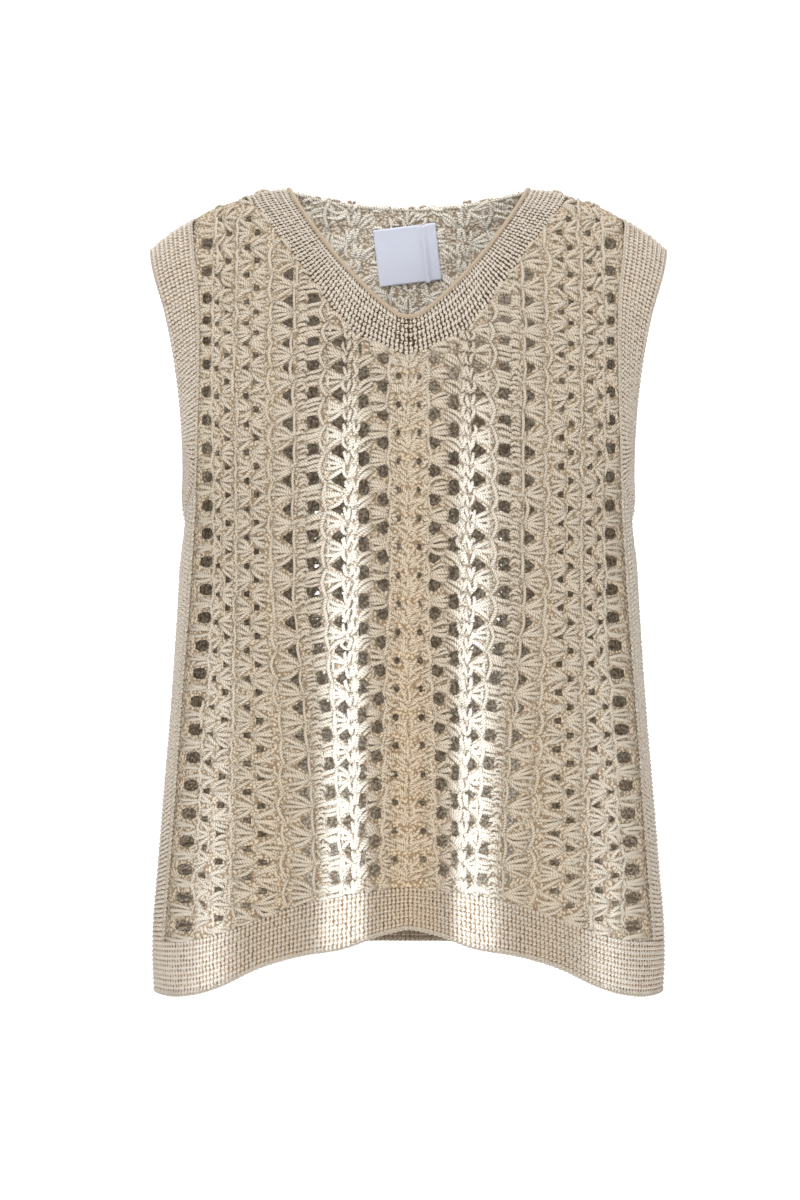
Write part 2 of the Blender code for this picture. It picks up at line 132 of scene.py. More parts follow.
# height, half width, front depth, back depth
SECTIONS = [
    (10.2, 101.0, 8.0, 9.0),
    (8.5, 119.0, 15.0, 17.0),
    (3.4, 136.5, 24.0, 28.0),
    (-6.8, 167.0, 36.0, 42.0),
    (-15.0, 181.5, 44.0, 50.0),
    (-30.0, 207.0, 56.0, 61.0),
    (-42.0, 220.0, 64.0, 68.0),
    (-70.0, 238.0, 82.0, 82.0),
    (-105.0, 246.0, 98.0, 94.0),
    (-145.0, 242.0, 109.0, 101.0),
    (-185.0, 225.0, 114.0, 104.0),
    (-220.0, 203.0, 115.0, 104.0),
    (-250.0, 192.0, 114.0, 102.0),
    (-317.0, 194.7, 111.0, 98.0),
    (-425.0, 201.5, 110.0, 97.0),
    (-551.0, 212.0, 114.0, 104.0),
    (-640.0, 217.8, 119.0, 110.0),
    (-680.0, 216.0, 121.0, 112.0),
]
FRONT_FOLDS = (
    Fold(-135.0, 0.0, 1.0, 27.0, -5.0, -19.0),
    Fold(-140.0, 50.0, 51.0, 20.0, 2.0, 7.0),
    Fold(-140.0, -50.0, -51.0, 20.0, 2.5, 8.0),
    Fold(-230.0, 112.0, 112.0, 26.0, 0.0, -7.0),
    Fold(-250.0, -108.0, -114.0, 28.0, 0.0, -8.0),
    Fold(-300.0, 160.0, 168.0, 20.0, 0.0, 5.0),
    Fold(-280.0, -158.0, -166.0, 20.0, 0.0, 6.0),
)
BACK_FOLDS = (
    Fold(-200.0, 62.0, 76.0, 30.0, 0.0, 9.0),
    Fold(-230.0, -54.0, -70.0, 28.0, 0.0, 10.0),
    Fold(-260.0, 6.0, 2.0, 30.0, 0.0, -9.0),
    Fold(-320.0, 128.0, 134.0, 26.0, 0.0, -7.0),
    Fold(-300.0, -122.0, -128.0, 26.0, 0.0, -6.0),
)


@dataclass(frozen=True)
class ClothBody:
    """The closed form that the cloth follows: an ellipse at each height, with its folds."""

    half_width: SmoothTable = field(default_factory=lambda: table_of(SECTIONS, 0, 1))
    front_depth: SmoothTable = field(default_factory=lambda: table_of(SECTIONS, 0, 2))
    back_depth: SmoothTable = field(default_factory=lambda: table_of(SECTIONS, 0, 3))
    top: float = 10.2
    armhole_top: float = -42.0
    fold_end: float = -650.0
    fold_ease: float = 0.15
    # Fold depth and fold rise at which the painted shade and the painted highlight are full
    deep_fold: float = 14.0
    high_fold: float = 3.9

    def depth(self, turn: Array, height: Array) -> Array:
        """Depth of the section on the side that each turn faces."""
        return np.where(np.cos(turn) >= 0, self.front_depth.at(height), self.back_depth.at(height))

    def fold_rise(self, across: Array, height: Array, turn: Array) -> Array:
        """Sum of the folds' bell-shaped rises, fading to nothing at the sides."""
        total = np.zeros(np.broadcast(across, height).shape)
        for folds, facing in ((FRONT_FOLDS, np.cos(turn) >= 0), (BACK_FOLDS, np.cos(turn) < 0)):
            for fold in folds:
                down = np.clip((fold.top_height - height) / (fold.top_height - self.fold_end), 0.0, 1.0)
                centre = fold.across_top + (fold.across_hem - fold.across_top) * down
                strength = fold.rise_top + (fold.rise_hem - fold.rise_top) * down
                ease = np.minimum(down / self.fold_ease, 1.0)
                bell = np.exp(-(((across - centre) / fold.width) ** 2))
                total = total + np.where(facing, ease * strength * bell, 0.0)
        return total * np.cos(turn) ** 2

    def fold_painted_light(self, across: Array, height: Array, turn: Array) -> Array:
        """Painted light of the folds: 0, full painted shade, in the deepest hollow, the plain value where there is
        no fold, and 1, a painted highlight, on a ridge.
        """
        rise = self.fold_rise(across, height, turn)
        lift = np.where(rise < 0, PLAIN_PAINTED_LIGHT * rise / self.deep_fold, (1 - PLAIN_PAINTED_LIGHT) * rise / self.high_fold)
        return np.clip(PLAIN_PAINTED_LIGHT + lift, 0.0, 1.0)

    def band_painted_light(self, points: Array) -> Array:
        """Painted light of the folds at points of a band, a little lighter than the openwork's."""
        height = points[..., 2]
        turn = np.arcsin(np.clip(points[..., 0] / self.half_width.at(height), -1.0, 1.0))
        turn = np.where(points[..., 1] > 0, math.pi - turn, turn)
        return np.clip(self.fold_painted_light(points[..., 0], height, turn) + BAND_PAINTED_LIGHT_LIFT, 0.0, 1.0)

    def place(self, turn: Array, height: Array) -> tuple[Array, Array]:
        """Points and outward directions on the cloth's outer face.

        The point is (half width x sine of the turn, depth x cosine, height), moved by the folds. The direction
        is the slope of the ellipse's own equation, with the lean that the sections' change of size gives it.

        Args:
            turn: angle from the centre front, in radians.
            height: height in millimetres.

        Returns:
            Points and unit directions, each with a last axis of three.
        """
        turn, height = np.broadcast_arrays(np.asarray(turn, float), np.asarray(height, float))
        width, depth = self.half_width.at(height), self.depth(turn, height)
        above, below = np.minimum(height + 1.0, self.top), height - 1.0
        width_slope = (self.half_width.at(above) - self.half_width.at(below)) / (above - below)
        depth_slope = (self.depth(turn, above) - self.depth(turn, below)) / (above - below)
        sine, cosine = np.sin(turn), np.cos(turn)
        across = width * sine
        out_y = -depth * cosine - np.sign(cosine + 1e-12) * self.fold_rise(across, height, turn)
        lean = -(sine**2 * width_slope / width + cosine**2 * depth_slope / depth)
        points = np.stack([across, out_y, height], axis=-1)
        ways = np.stack([sine / width, -cosine / depth, lean], axis=-1)
        return points, ways / np.linalg.norm(ways, axis=-1, keepdims=True)

    def turn_at(self, across: Array, height: Array, side: Side) -> Array:
        """Turn of the place at a signed distance from the centre line, held clear of the side line."""
        width = self.half_width.at(height)
        depth = (self.back_depth if side is Side.BACK else self.front_depth).at(height)
        turn = np.arcsin(np.clip(across / width, -1.0, 1.0))
        limit = SIDE_TURN - HALF_GAP / depth
        turn = np.clip(turn, -limit, limit)
        if side is Side.BACK:
            return np.where(turn < 0, -math.pi, math.pi) - turn
        return turn

    def along(self, turn: Array, height: Array, distance: float) -> Array:
        """Turn of the place a short distance further round the section."""
        run = np.hypot(self.half_width.at(height) * np.cos(turn), self.depth(turn, height) * np.sin(turn))
        return turn + distance / run

    def shoulder_height(self, across: Array) -> Array:
        """Height of the shoulder line, where the section is just as wide as each distance."""
        heights = np.linspace(self.top, self.armhole_top, 400)
        return np.interp(np.abs(across), self.half_width.at(heights), heights)


# height, distance of the seam from the centre line
SIDE_SEAM = [
    (-15.0, 181.5),
    (-45.0, 181.0),
    (-75.0, 177.0),
    (-160.0, 175.5),
    (-216.0, 178.0),
    (-325.0, 184.0),
    (-437.0, 192.5),
    (-547.0, 200.0),
    (-625.0, 206.0),
]
# distance from the centre line, height of the edge
NECK_INNER = [(0.0, -105.0), (8.6, -103.0), (18.5, -95.4), (36.8, -77.8), (66.3, -43.9), (90.0, -9.0), (101.0, 10.2)]
NECK_OUTER = [
    (0.0, -139.0),
    (22.6, -130.5),
    (50.7, -114.2),
    (76.7, -78.5),
    (99.0, -46.6),
    (115.8, -24.2),
    (136.0, 3.6),
]
# share of the half width, then the heights of the front band's edges and the back band's edges
HEM = [
    (0.00, -577.0, -610.5, -597.0, -638.0),
    (0.14, -578.5, -617.0, -597.5, -638.5),
    (0.24, -581.0, -624.5, -599.0, -640.0),
    (0.42, -591.5, -633.0, -604.0, -645.0),
    (0.58, -603.5, -644.5, -610.0, -651.5),
    (0.72, -616.0, -659.5, -617.0, -660.0),
    (0.83, -623.0, -668.0, -623.0, -666.5),
    (0.92, -626.0, -671.5, -626.0, -671.0),
    (1.00, -628.0, -671.0, -628.0, -671.0),
]
# height, distance from the centre line
ARMHOLE_EDGE = [
    (-42.0, 219.5),
    (-60.0, 216.0),
    (-100.0, 204.5),
    (-144.0, 196.0),
    (-173.0, 192.5),
    (-212.0, 190.5),
    (-240.0, 191.0),
]
# Upright lines of the openwork: distance from the centre at chest, waist and hem
LINES = [
    (0.0, 0.0, 0.0),
    (21.4, 26.7, 30.8),
    (33.3, 34.9, 35.8),
    (40.7, 41.5, 40.2),
    (46.9, 45.3, 42.6),
    (51.8, 48.9, 45.0),
    (62.5, 58.0, 52.0),
    (74.8, 64.5, 57.0),
    (83.8, 72.7, 65.0),
    (96.2, 87.1, 77.5),
    (103.6, 94.5, 85.0),
    (117.0, 112.0, 106.0),
    (136.0, 136.0, 136.0),
    (154.0, 157.0, 163.0),
    (168.5, 177.0, 188.0),
]
LINE_HEIGHTS = (-340.0, -430.0, -560.0)
SEAM_PLACE = 176.0
UPPER_ROWS = [-18.0, -44.0, -68.0, -92.0, -110.0, -127.0, -147.5]
ROW_PITCH = 23.4
ROW_COUNT = 28


@dataclass(frozen=True)
class Pattern:
    """Where the pieces' edges and the openwork's lines and rows run on the body."""

    body: ClothBody = field(default_factory=ClothBody)
    side_seam: SmoothTable = field(default_factory=lambda: table_of(SIDE_SEAM, 0, 1))
    neck_inner: SmoothTable = field(default_factory=lambda: table_of(NECK_INNER, 0, 1))
    neck_outer: SmoothTable = field(default_factory=lambda: table_of(NECK_OUTER, 0, 1))
    armhole_across: SmoothTable = field(default_factory=lambda: table_of(ARMHOLE_EDGE, 0, 1))
    neck_side: float = 101.0
    neck_band_end: float = 136.0
    back_neck_centre: float = -2.0
    seam_top: float = -15.0
    corner: float = -245.78
    underarm_sag: float = 28.0
    row_before: float = 26.0

    def hem(self, turn: Array, edge: int) -> Array:
        """Height of the hem band's upper (0) or lower (1) edge at each turn."""
        share = np.abs(np.sin(turn))
        front = table_of(HEM, 0, 1 + edge).at(share)
        back = table_of(HEM, 0, 3 + edge).at(share)
        return np.where(np.cos(turn) >= 0, front, back)

    def panel_top(self, across: Array, side: Side) -> Array:
        """Upper edge of a panel: the neck's edge in the middle and the shoulder line beyond it."""
        across = np.abs(across)
        shoulder = np.maximum(self.body.shoulder_height(across), self.seam_top)
        if side is Side.BACK:
            rise = self.body.top - self.back_neck_centre
            neck = self.back_neck_centre + rise * (across / self.neck_side) ** 2
            return np.where(across <= self.neck_side, neck, shoulder)
        return np.where(across <= self.neck_band_end, self.neck_outer.at(across) - NECK_SEAM, shoulder)

    def panel_bottom(self, across: Array, side: Side) -> Array:
        """Lower edge of a panel, along the hem band, found by a few rounds of going down to it."""
        height = np.full(np.shape(across), PANEL_START)
        for _ in range(PANEL_ROUNDS):
            height = self.hem(self.body.turn_at(across, height, side), 0)
        return height + HALF_GAP

    def row_height(self, row: Array) -> Array:
        """Height of a row number, counted down from the first row and in parts between rows."""
        rows = [UPPER_ROWS[0] + self.row_before] + list(UPPER_ROWS)
        rows += [UPPER_ROWS[-1] - ROW_PITCH * step for step in range(1, ROW_COUNT - len(UPPER_ROWS) + 2)]
        return np.interp(row, np.arange(len(rows)) - 1.0, rows)

    def line_across(self, place: Array, height: Array) -> Array:
        """Distance from the centre of a place that is given as a distance at the chest.

        Each upright line has its own distance at chest, waist and hem, read straight between them, and a place
        between two lines keeps its share of the way from one to the other.

        Args:
            place: signed distance from the centre at the chest.
            height: height in millimetres.

        Returns:
            Signed distance from the centre at that height.
        """
        far = np.abs(place)
        keys = np.array([line[0] for line in LINES] + [SEAM_PLACE])
        cell = np.clip(np.searchsorted(keys, far, side="right") - 1, 0, len(keys) - 2)
        share = (far - keys[cell]) / (keys[cell + 1] - keys[cell])
        levels = LINE_HEIGHTS[::-1]
        grid = np.stack([np.interp(height, levels, line[::-1]) for line in LINES] + [self.side_seam.at(height)])
        low = np.take_along_axis(grid, cell[None], axis=0)[0]
        high = np.take_along_axis(grid, cell[None] + 1, axis=0)[0]
        return np.sign(place) * (low + (high - low) * np.minimum(share, 1.0))

    def seen_in_neck(self, points: Array) -> Array:
        """True for points of the back that lie above the V of the neck's front edge."""
        return points[..., 2] > self.neck_inner.at(np.abs(points[..., 0]))

    def on_panel(self, place: Array, row: Array, side: Side, lift: Array | float) -> tuple[Array, ...]:
        """Points of a panel at chart places and rows, held inside the panel's edges.

        Args:
            place: signed distance from the centre at the chest.
            row: row number in parts.
            side: front or back.
            lift: distance outward from the middle of the wall.

        Returns:
            Points, outward directions, painted light of the folds (painted shade in hollows, painted highlight on
            ridges), and each point's room to the nearer of the panel's upper and lower edges, below zero where it
            had to be moved back inside.
        """
        wanted = self.row_height(row)
        across = self.line_across(place, wanted)
        top = self.panel_top(across, side)
        bottom = self.panel_bottom(across, side)
        height = np.clip(wanted, bottom, top)
        across = self.line_across(place, height)
        turn = self.body.turn_at(across, height, side)
        points, ways = self.body.place(turn, height)
        points = points + ways * (np.asarray(lift, float)[..., None] - MID_WALL)
        painted_light_tone = self.body.fold_painted_light(across, height, turn)
        return points, ways, painted_light_tone, np.minimum(top - wanted, wanted - bottom)


@dataclass
class MeshDraft:
    """Points, faces and face-corner coordinates collected for one mesh."""

    points: list[Array] = field(default_factory=list)
    loops: list[Array] = field(default_factory=list)
    sizes: list[Array] = field(default_factory=list)
    corners: list[Array] = field(default_factory=list)
    painted_light_tones: list[Array] = field(default_factory=list)
    count: int = 0

    def add_points(self, points: Array, painted_light_tone: Array | float = PLAIN_PAINTED_LIGHT) -> int:
        """Add points, each with its painted light, and return the number of the first."""
        first = self.count
        self.points.append(points.reshape(-1, 3))
        self.painted_light_tones.append(np.broadcast_to(painted_light_tone, points.shape[:-1]).reshape(-1))
        self.count += points.size // 3
        return first

    def add_faces(self, faces: Array, corners: Array) -> None:
        """Add faces of one size, and the coordinates of their corners."""
        self.loops.append(faces.reshape(-1))
        self.sizes.append(np.full(len(faces), faces.shape[1]))
        self.corners.append(corners.reshape(-1, 2))

    def make(self, name: str, material: bpy.types.Material) -> bpy.types.Object:
        """Write the arrays into a mesh and link its object.

        Args:
            name: the piece's name.
            material: its only material.

        Returns:
            The new object, at the origin.
        """
        points = np.concatenate(self.points) * MM
        loops = np.concatenate(self.loops).astype(np.int32)
        sizes = np.concatenate(self.sizes)
        starts = np.concatenate([[0], np.cumsum(sizes)[:-1]]).astype(np.int32)
        mesh = bpy.data.meshes.new(name)
        mesh.vertices.add(len(points))
        mesh.vertices.foreach_set("co", points.reshape(-1).astype(np.float32))
        mesh.loops.add(len(loops))
        mesh.loops.foreach_set("vertex_index", loops)
        mesh.polygons.add(len(starts))
        mesh.polygons.foreach_set("loop_start", starts)
        painted_light_tone = mesh.attributes.new("painted_light_tone", "FLOAT", "POINT")
        painted_light_tone.data.foreach_set("value", np.concatenate(self.painted_light_tones).astype(np.float32))
        layer = mesh.uv_layers.new(name="yarn")
        layer.data.foreach_set("uv", np.concatenate(self.corners).reshape(-1).astype(np.float32))
        mesh.update(calc_edges=True)
        mesh.polygons.foreach_set("use_smooth", np.ones(len(mesh.polygons), bool))
        mesh.materials.append(material)
        piece = bpy.data.objects.new(name, mesh)
        bpy.context.scene.collection.objects.link(piece)
        return piece


def resampled(path: Array, steps: int) -> Array:
    """Carry a path's control points into a smooth curve with a number of even steps.

    Between two control points the curve is the cubic that passes both with the mean slope of their neighbours.

    Args:
        path: (control points, values).
        steps: points wanted.

    Returns:
        (steps, values).
    """
    slopes = np.gradient(path, axis=0)
    where = np.linspace(0, len(path) - 1, steps)
    cell = np.minimum(where.astype(int), len(path) - 2)
    u = (where - cell)[:, None]
    start = (1 + 2 * u) * (1 - u) ** 2 * path[cell] + u * (1 - u) ** 2 * slopes[cell]
    return start + u * u * (3 - 2 * u) * path[cell + 1] - u * u * (1 - u) * slopes[cell + 1]


@dataclass
class Strands:
    """Many short lengths of yarn, each a path of points with an outward direction at each."""

    sides: int = 5
    end_share: float = 0.72
    draft: MeshDraft = field(default_factory=MeshDraft)
    triangles: int = 0

    def add(self, paths: Array, ways: Array, radius: Array | float, painted_light_tone: Array | float = PLAIN_PAINTED_LIGHT) -> None:
        """Carry a ring of points along every path and close both ends.

        A ring's two axes are the path's side (its direction crossed with the outward one) and the direction at
        right angles to both. The radius draws in at the ends, so that a strand sinks into its neighbours.

        Args:
            paths: (strands, points, 3) in millimetres.
            ways: outward directions of the same shape.
            radius: yarn radius, a number or one for each strand.
            painted_light_tone: painted light of the folds, a number or one for each point of each path.
        """
        number, steps, _ = paths.shape
        if not number:
            return
        along = np.gradient(paths, axis=1)
        along /= np.linalg.norm(along, axis=2, keepdims=True) + 1e-9
        sideways = np.cross(along, ways)
        sideways /= np.linalg.norm(sideways, axis=2, keepdims=True) + 1e-9
        upright = np.cross(sideways, along)
        radius = np.broadcast_to(np.asarray(radius, float).reshape(-1, 1), (number, steps)).copy()
        radius[:, [0, -1]] *= self.end_share
        angles = np.arange(self.sides) * 2 * math.pi / self.sides
        ring = np.cos(angles)[:, None] * sideways[:, :, None] + np.sin(angles)[:, None] * upright[:, :, None]
        painted_light_tones = np.broadcast_to(painted_light_tone, (number, steps))[:, :, None]
        first = self.draft.add_points(paths[:, :, None] + ring * radius[:, :, None, None], painted_light_tones)
        index = first + np.arange(number * steps * self.sides).reshape(number, steps, self.sides)
        following = np.roll(index, -1, axis=2)
        quads = np.stack([index[:, :-1], index[:, 1:], following[:, 1:], following[:, :-1]], axis=-1)
        length = np.linalg.norm(np.diff(paths, axis=1), axis=2)
        run = np.concatenate([np.zeros((number, 1)), np.cumsum(length, axis=1)], axis=1)
        low = np.broadcast_to(run[:, :-1, None], quads.shape[:3])
        high = np.broadcast_to(run[:, 1:, None], quads.shape[:3])
        near = np.broadcast_to(np.arange(self.sides) / self.sides, quads.shape[:3])
        far = near + 1.0 / self.sides
        self.draft.add_faces(quads.reshape(-1, 4), np.stack([low, near, high, near, high, far, low, far], axis=-1))
        flat = np.zeros((number, self.sides, 2))
        self.draft.add_faces(index[:, 0], flat)
        self.draft.add_faces(index[:, -1, ::-1], flat)
        self.triangles += number * (2 * self.sides * (steps - 1) + 2 * (self.sides - 2))

    def make(self, name: str, material: bpy.types.Material) -> bpy.types.Object:
        """Make one mesh of all the strands."""
        return self.draft.make(name, material)


def cloth_shell(
    name: str, points: Array, keep: Array, material: bpy.types.Material, painted_light_tone: Array | float = PLAIN_PAINTED_LIGHT
) -> bpy.types.Object:
    """Closed thin shell on a grid of points, without the cells that are left out.

    Each kept cell becomes a quad, points that meet are merged, and Solidify gives both faces and the edges.

    Args:
        name: the piece's name.
        points: (columns, rows, 3) in millimetres.
        keep: (columns - 1, rows - 1), true where the cloth has a cell.
        material: its material.
        painted_light_tone: painted light of the folds, a number or one for each point.

    Returns:
        The shell's object.
    """
    columns, rows, _ = points.shape
    draft = MeshDraft()
    index = draft.add_points(points, painted_light_tone) + np.arange(columns * rows).reshape(columns, rows)
    quads = np.stack([index[:-1, :-1], index[:-1, 1:], index[1:, 1:], index[1:, :-1]], axis=-1)
    run_u, run_v = np.meshgrid(np.arange(columns), np.arange(rows), indexing="ij")
    corners = np.stack([run_u, run_v], axis=-1).reshape(-1, 2).astype(float)[quads]
    draft.add_faces(quads[keep], corners[keep])
    piece = draft.make(name, material)
    work = bmesh.new()
    work.from_mesh(piece.data)
    bmesh.ops.remove_doubles(work, verts=work.verts, dist=2e-5)
    bmesh.ops.dissolve_degenerate(work, edges=work.edges, dist=1e-6)
    bmesh.ops.delete(work, geom=[vertex for vertex in work.verts if not vertex.link_faces], context="VERTS")
    bmesh.ops.recalc_face_normals(work, faces=work.faces)
    work.to_mesh(piece.data)
    work.free()
    solid = piece.modifiers.new("Wall", "SOLIDIFY")
    solid.thickness = CLOTH * MM
    solid.offset = 0.0
    return piece


def flat_cut(points: Array) -> tuple[tuple[float, float], float]:
    """Width, length and area of a piece's flat cut, from its grid of points.

    The width is the longest of its lines one way and the length the longest the other way. The area is the sum
    of its cells, each half the cross product of its diagonals, and at most the width times the length.

    Args:
        points: (columns, rows, 3) in millimetres.

    Returns:
        Width and length, then area, in metres.
    """
    first, second = points[1:, 1:] - points[:-1, :-1], points[:-1, 1:] - points[1:, :-1]
    area = 0.5 * np.linalg.norm(np.cross(first, second), axis=-1).sum() * MM**2
    width = np.linalg.norm(np.diff(points, axis=0), axis=-1).sum(axis=0).max() * MM
    length = np.linalg.norm(np.diff(points, axis=1), axis=-1).sum(axis=1).max() * MM
    return (float(width), float(length)), float(min(area, width * length))


@dataclass
class Patch:
    """A grid of points and outward directions, read anywhere by two shares from 0 to 1.

    The first share goes across the piece, from seam to free edge, and the second along it.
    """

    points: Array
    ways: Array
    closed: bool = False

    def read(self, across: Array, along: Array, lift: Array | float = 0.0) -> tuple[Array, Array]:
        """Points and directions at shares, blended between the four nearest grid points.

        Args:
            across: share of the way across.
            along: share of the way along.
            lift: how far to move each point outward, in millimetres.

        Returns:
            Points and unit directions.
        """
        rows, columns, _ = self.points.shape
        along = np.mod(along, 1.0) if self.closed else np.clip(along, 0, 1)
        a = np.clip(across, 0, 1) * (rows - 1)
        b = along * (columns - 1)
        i = np.minimum(a.astype(int), rows - 2)
        j = np.minimum(b.astype(int), columns - 2)
        s, t = (a - i)[..., None], (b - j)[..., None]
        both = np.concatenate([self.points, self.ways], axis=-1)
        low = both[i, j] * (1 - t) + both[i, j + 1] * t
        high = both[i + 1, j] * (1 - t) + both[i + 1, j + 1] * t
        mixed = low * (1 - s) + high * s
        ways = mixed[..., 3:] / np.linalg.norm(mixed[..., 3:], axis=-1, keepdims=True)
        return mixed[..., :3] + ways * np.asarray(lift, float)[..., None], ways

    def middle_steps(self) -> Array:
        """Lengths of the steps along the middle line, in millimetres."""
        middle = self.points[self.points.shape[0] // 2]
        return np.linalg.norm(np.diff(middle, axis=0), axis=1)

    def evened(self) -> Patch:
        """The same patch with its second share even in length along the middle of the first."""
        run = np.concatenate([[0.0], np.cumsum(self.middle_steps())])
        share = np.interp(np.linspace(0, run[-1], len(run)), run, np.linspace(0, 1, len(run)))
        across = np.linspace(0, 1, self.points.shape[0])[:, None]
        points, ways = Patch(self.points, self.ways).read(across + 0 * share, share + 0 * across)
        return Patch(points, ways, self.closed)

    def mirrored(self, side: int) -> Patch:
        """The same patch on the wearer's left (1) or on the right (-1)."""
        mirror = np.array([side, 1.0, 1.0])
        return Patch(self.points * mirror, self.ways * mirror, self.closed)

    def length(self) -> float:
        """Length along the middle line, in millimetres."""
        return float(self.middle_steps().sum())

    def width(self) -> float:
        """Mean width across, in millimetres."""
        return float(np.linalg.norm(np.diff(self.points, axis=0), axis=2).sum(axis=0).mean())


# --- Finishes -------------------------------------------------------------------------------------------------

Colour = tuple[float, float, float]
Tree = bpy.types.NodeTree
Socket = bpy.types.NodeSocket
# Colours that the folds' painted light multiplies into the yarn: tan painted shade in the hollows, the plain value
# where there is no fold, and a painted highlight on the ridges
HOLLOW_PAINTED_SHADE: Colour = (0.57, 0.485, 0.385)
PLAIN_PAINTED_SHADE: Colour = (0.52, 0.47, 0.405)
RIDGE_PAINTED_HIGHLIGHT: Colour = (0.97, 0.96, 0.94)


def new_material(name: str, settings: dict[str, object]) -> bpy.types.Material:
    """Make a material with nodes, with constants on its shader's own inputs.

    Args:
        name: the material's name.
        settings: the value of each input.

    Returns:
        The material.
    """
    material = bpy.data.materials.new(name)
    material.use_nodes = True
    for label, value in settings.items():
        material.node_tree.nodes["Principled BSDF"].inputs[label].default_value = value
    return material


def group_node(tree: Tree, group: bpy.types.ShaderNodeTree, space: str) -> bpy.types.Node:
    """Add a group's node, read in the coordinates that the space names."""
    place = tree.nodes.new("ShaderNodeTexCoord")
    node = tree.nodes.new("ShaderNodeGroup")
    node.node_tree = group
    tree.links.new(place.outputs[space], node.inputs["Coordinates"])
    return node


def ramp_node(tree: Tree, value: Socket, low: tuple[float, Colour], high: tuple[float, Colour]) -> Socket:
    """Blend between two colours, each at its own value, and return the colour."""
    ramp = tree.nodes.new("ShaderNodeValToRGB")
    for index, (position, colour) in enumerate((low, high)):
        ramp.color_ramp.elements[index].position = position
        ramp.color_ramp.elements[index].color = (*colour, 1.0)
    tree.links.new(value, ramp.inputs["Fac"])
    return ramp.outputs["Color"]


def bump_node(tree: Tree, height: Socket, strength: float, distance: float) -> None:
    """Raise the surface by a height, at most by a distance in metres, and feed the shader's normal."""
    bump = tree.nodes.new("ShaderNodeBump")
    bump.inputs["Strength"].default_value = strength
    bump.inputs["Distance"].default_value = distance
    tree.links.new(height, bump.inputs["Height"])
    tree.links.new(bump.outputs["Normal"], tree.nodes["Principled BSDF"].inputs["Normal"])


def new_group(name: str, inputs: dict[str, float], outputs: list[str]) -> bpy.types.ShaderNodeTree:
    """Make an empty shader group with a vector called Coordinates, float inputs and float outputs.

    Args:
        name: the group's name.
        inputs: each float input and its usual value.
        outputs: names of the float outputs.

    Returns:
        The group with its input and output nodes.
    """
    group = bpy.data.node_groups.new(name, "ShaderNodeTree")
    group.interface.new_socket("Coordinates", in_out="INPUT", socket_type="NodeSocketVector")
    for label, value in inputs.items():
        socket = group.interface.new_socket(label, in_out="INPUT", socket_type="NodeSocketFloat")
        socket.default_value = value
    for label in outputs:
        group.interface.new_socket(label, in_out="OUTPUT", socket_type="NodeSocketFloat")
    group.nodes.new("NodeGroupInput")
    group.nodes.new("NodeGroupOutput")
    return group


def math_node(tree: Tree, operation: str, *values: object) -> Socket:
    """Add a math node whose inputs are numbers or sockets, and return its result."""
    node = tree.nodes.new("ShaderNodeMath")
    node.operation = operation
    for socket, value in zip(node.inputs, values):
        if isinstance(value, Socket):
            tree.links.new(value, socket)
        else:
            socket.default_value = value
    return node.outputs[0]


def plied_yarn_group() -> bpy.types.ShaderNodeTree:
    """Plies that wind round a strand, and the painted shade round the strand.

    The height is the size of the sine of (turns per millimetre x the run + the way round). The shade is painted
    shade: one at the outer side of the strand, falling to nothing at its inner side, which lies against the cloth.
    """
    group = new_group("plied_yarn", {"Turns": 0.2, "Plies": 2.0}, ["Height", "Shade"])
    start, end = group.nodes["Group Input"], group.nodes["Group Output"]
    split = group.nodes.new("ShaderNodeSeparateXYZ")
    group.links.new(start.outputs["Coordinates"], split.inputs[0])
    wound = math_node(group, "MULTIPLY", split.outputs["X"], start.outputs["Turns"])
    round_way = math_node(group, "MULTIPLY", split.outputs["Y"], start.outputs["Plies"])
    phase = math_node(group, "MULTIPLY", math_node(group, "ADD", wound, round_way), math.pi)
    height = math_node(group, "ABSOLUTE", math_node(group, "SINE", phase))
    group.links.new(height, end.inputs["Height"])
    turn = math_node(group, "MULTIPLY", split.outputs["Y"], 2 * math.pi)
    outer = math_node(group, "MULTIPLY_ADD", math_node(group, "SINE", turn), 0.5, 0.5)
    group.links.new(outer, end.inputs["Shade"])
    return group


def fuzz_group() -> bpy.types.ShaderNodeTree:
    """Fine fibres and slow changes of tone over the cloth, both from noise."""
    group = new_group("cotton_fuzz", {"Fibres": 560.0, "Patches": 22.0}, ["Fibre", "Patch"])
    start, end = group.nodes["Group Input"], group.nodes["Group Output"]
    for scale, label, detail in (("Fibres", "Fibre", 3.0), ("Patches", "Patch", 2.0)):
        noise = group.nodes.new("ShaderNodeTexNoise")
        noise.inputs["Detail"].default_value = detail
        group.links.new(start.outputs["Coordinates"], noise.inputs["Vector"])
        group.links.new(start.outputs[scale], noise.inputs["Scale"])
        group.links.new(noise.outputs["Fac"], end.inputs[label])
    return group


def stitch_group() -> bpy.types.ShaderNodeTree:
    """Height of rounded stitches in the ground: one less the distance to the nearest cell centre, times a slope; the
    ground takes its bump and its painted shade between stitches from it.
    """
    group = new_group("stitch_bumps", {"Stitches": 400.0, "Slope": 1.5}, ["Height"])
    start, end = group.nodes["Group Input"], group.nodes["Group Output"]
    cells = group.nodes.new("ShaderNodeTexVoronoi")
    group.links.new(start.outputs["Coordinates"], cells.inputs["Vector"])
    group.links.new(start.outputs["Stitches"], cells.inputs["Scale"])
    fall = math_node(group, "MULTIPLY", cells.outputs["Distance"], start.outputs["Slope"])
    height = math_node(group, "SUBTRACT", 1.0, fall)
    group.links.new(height, end.inputs["Height"])
    return group


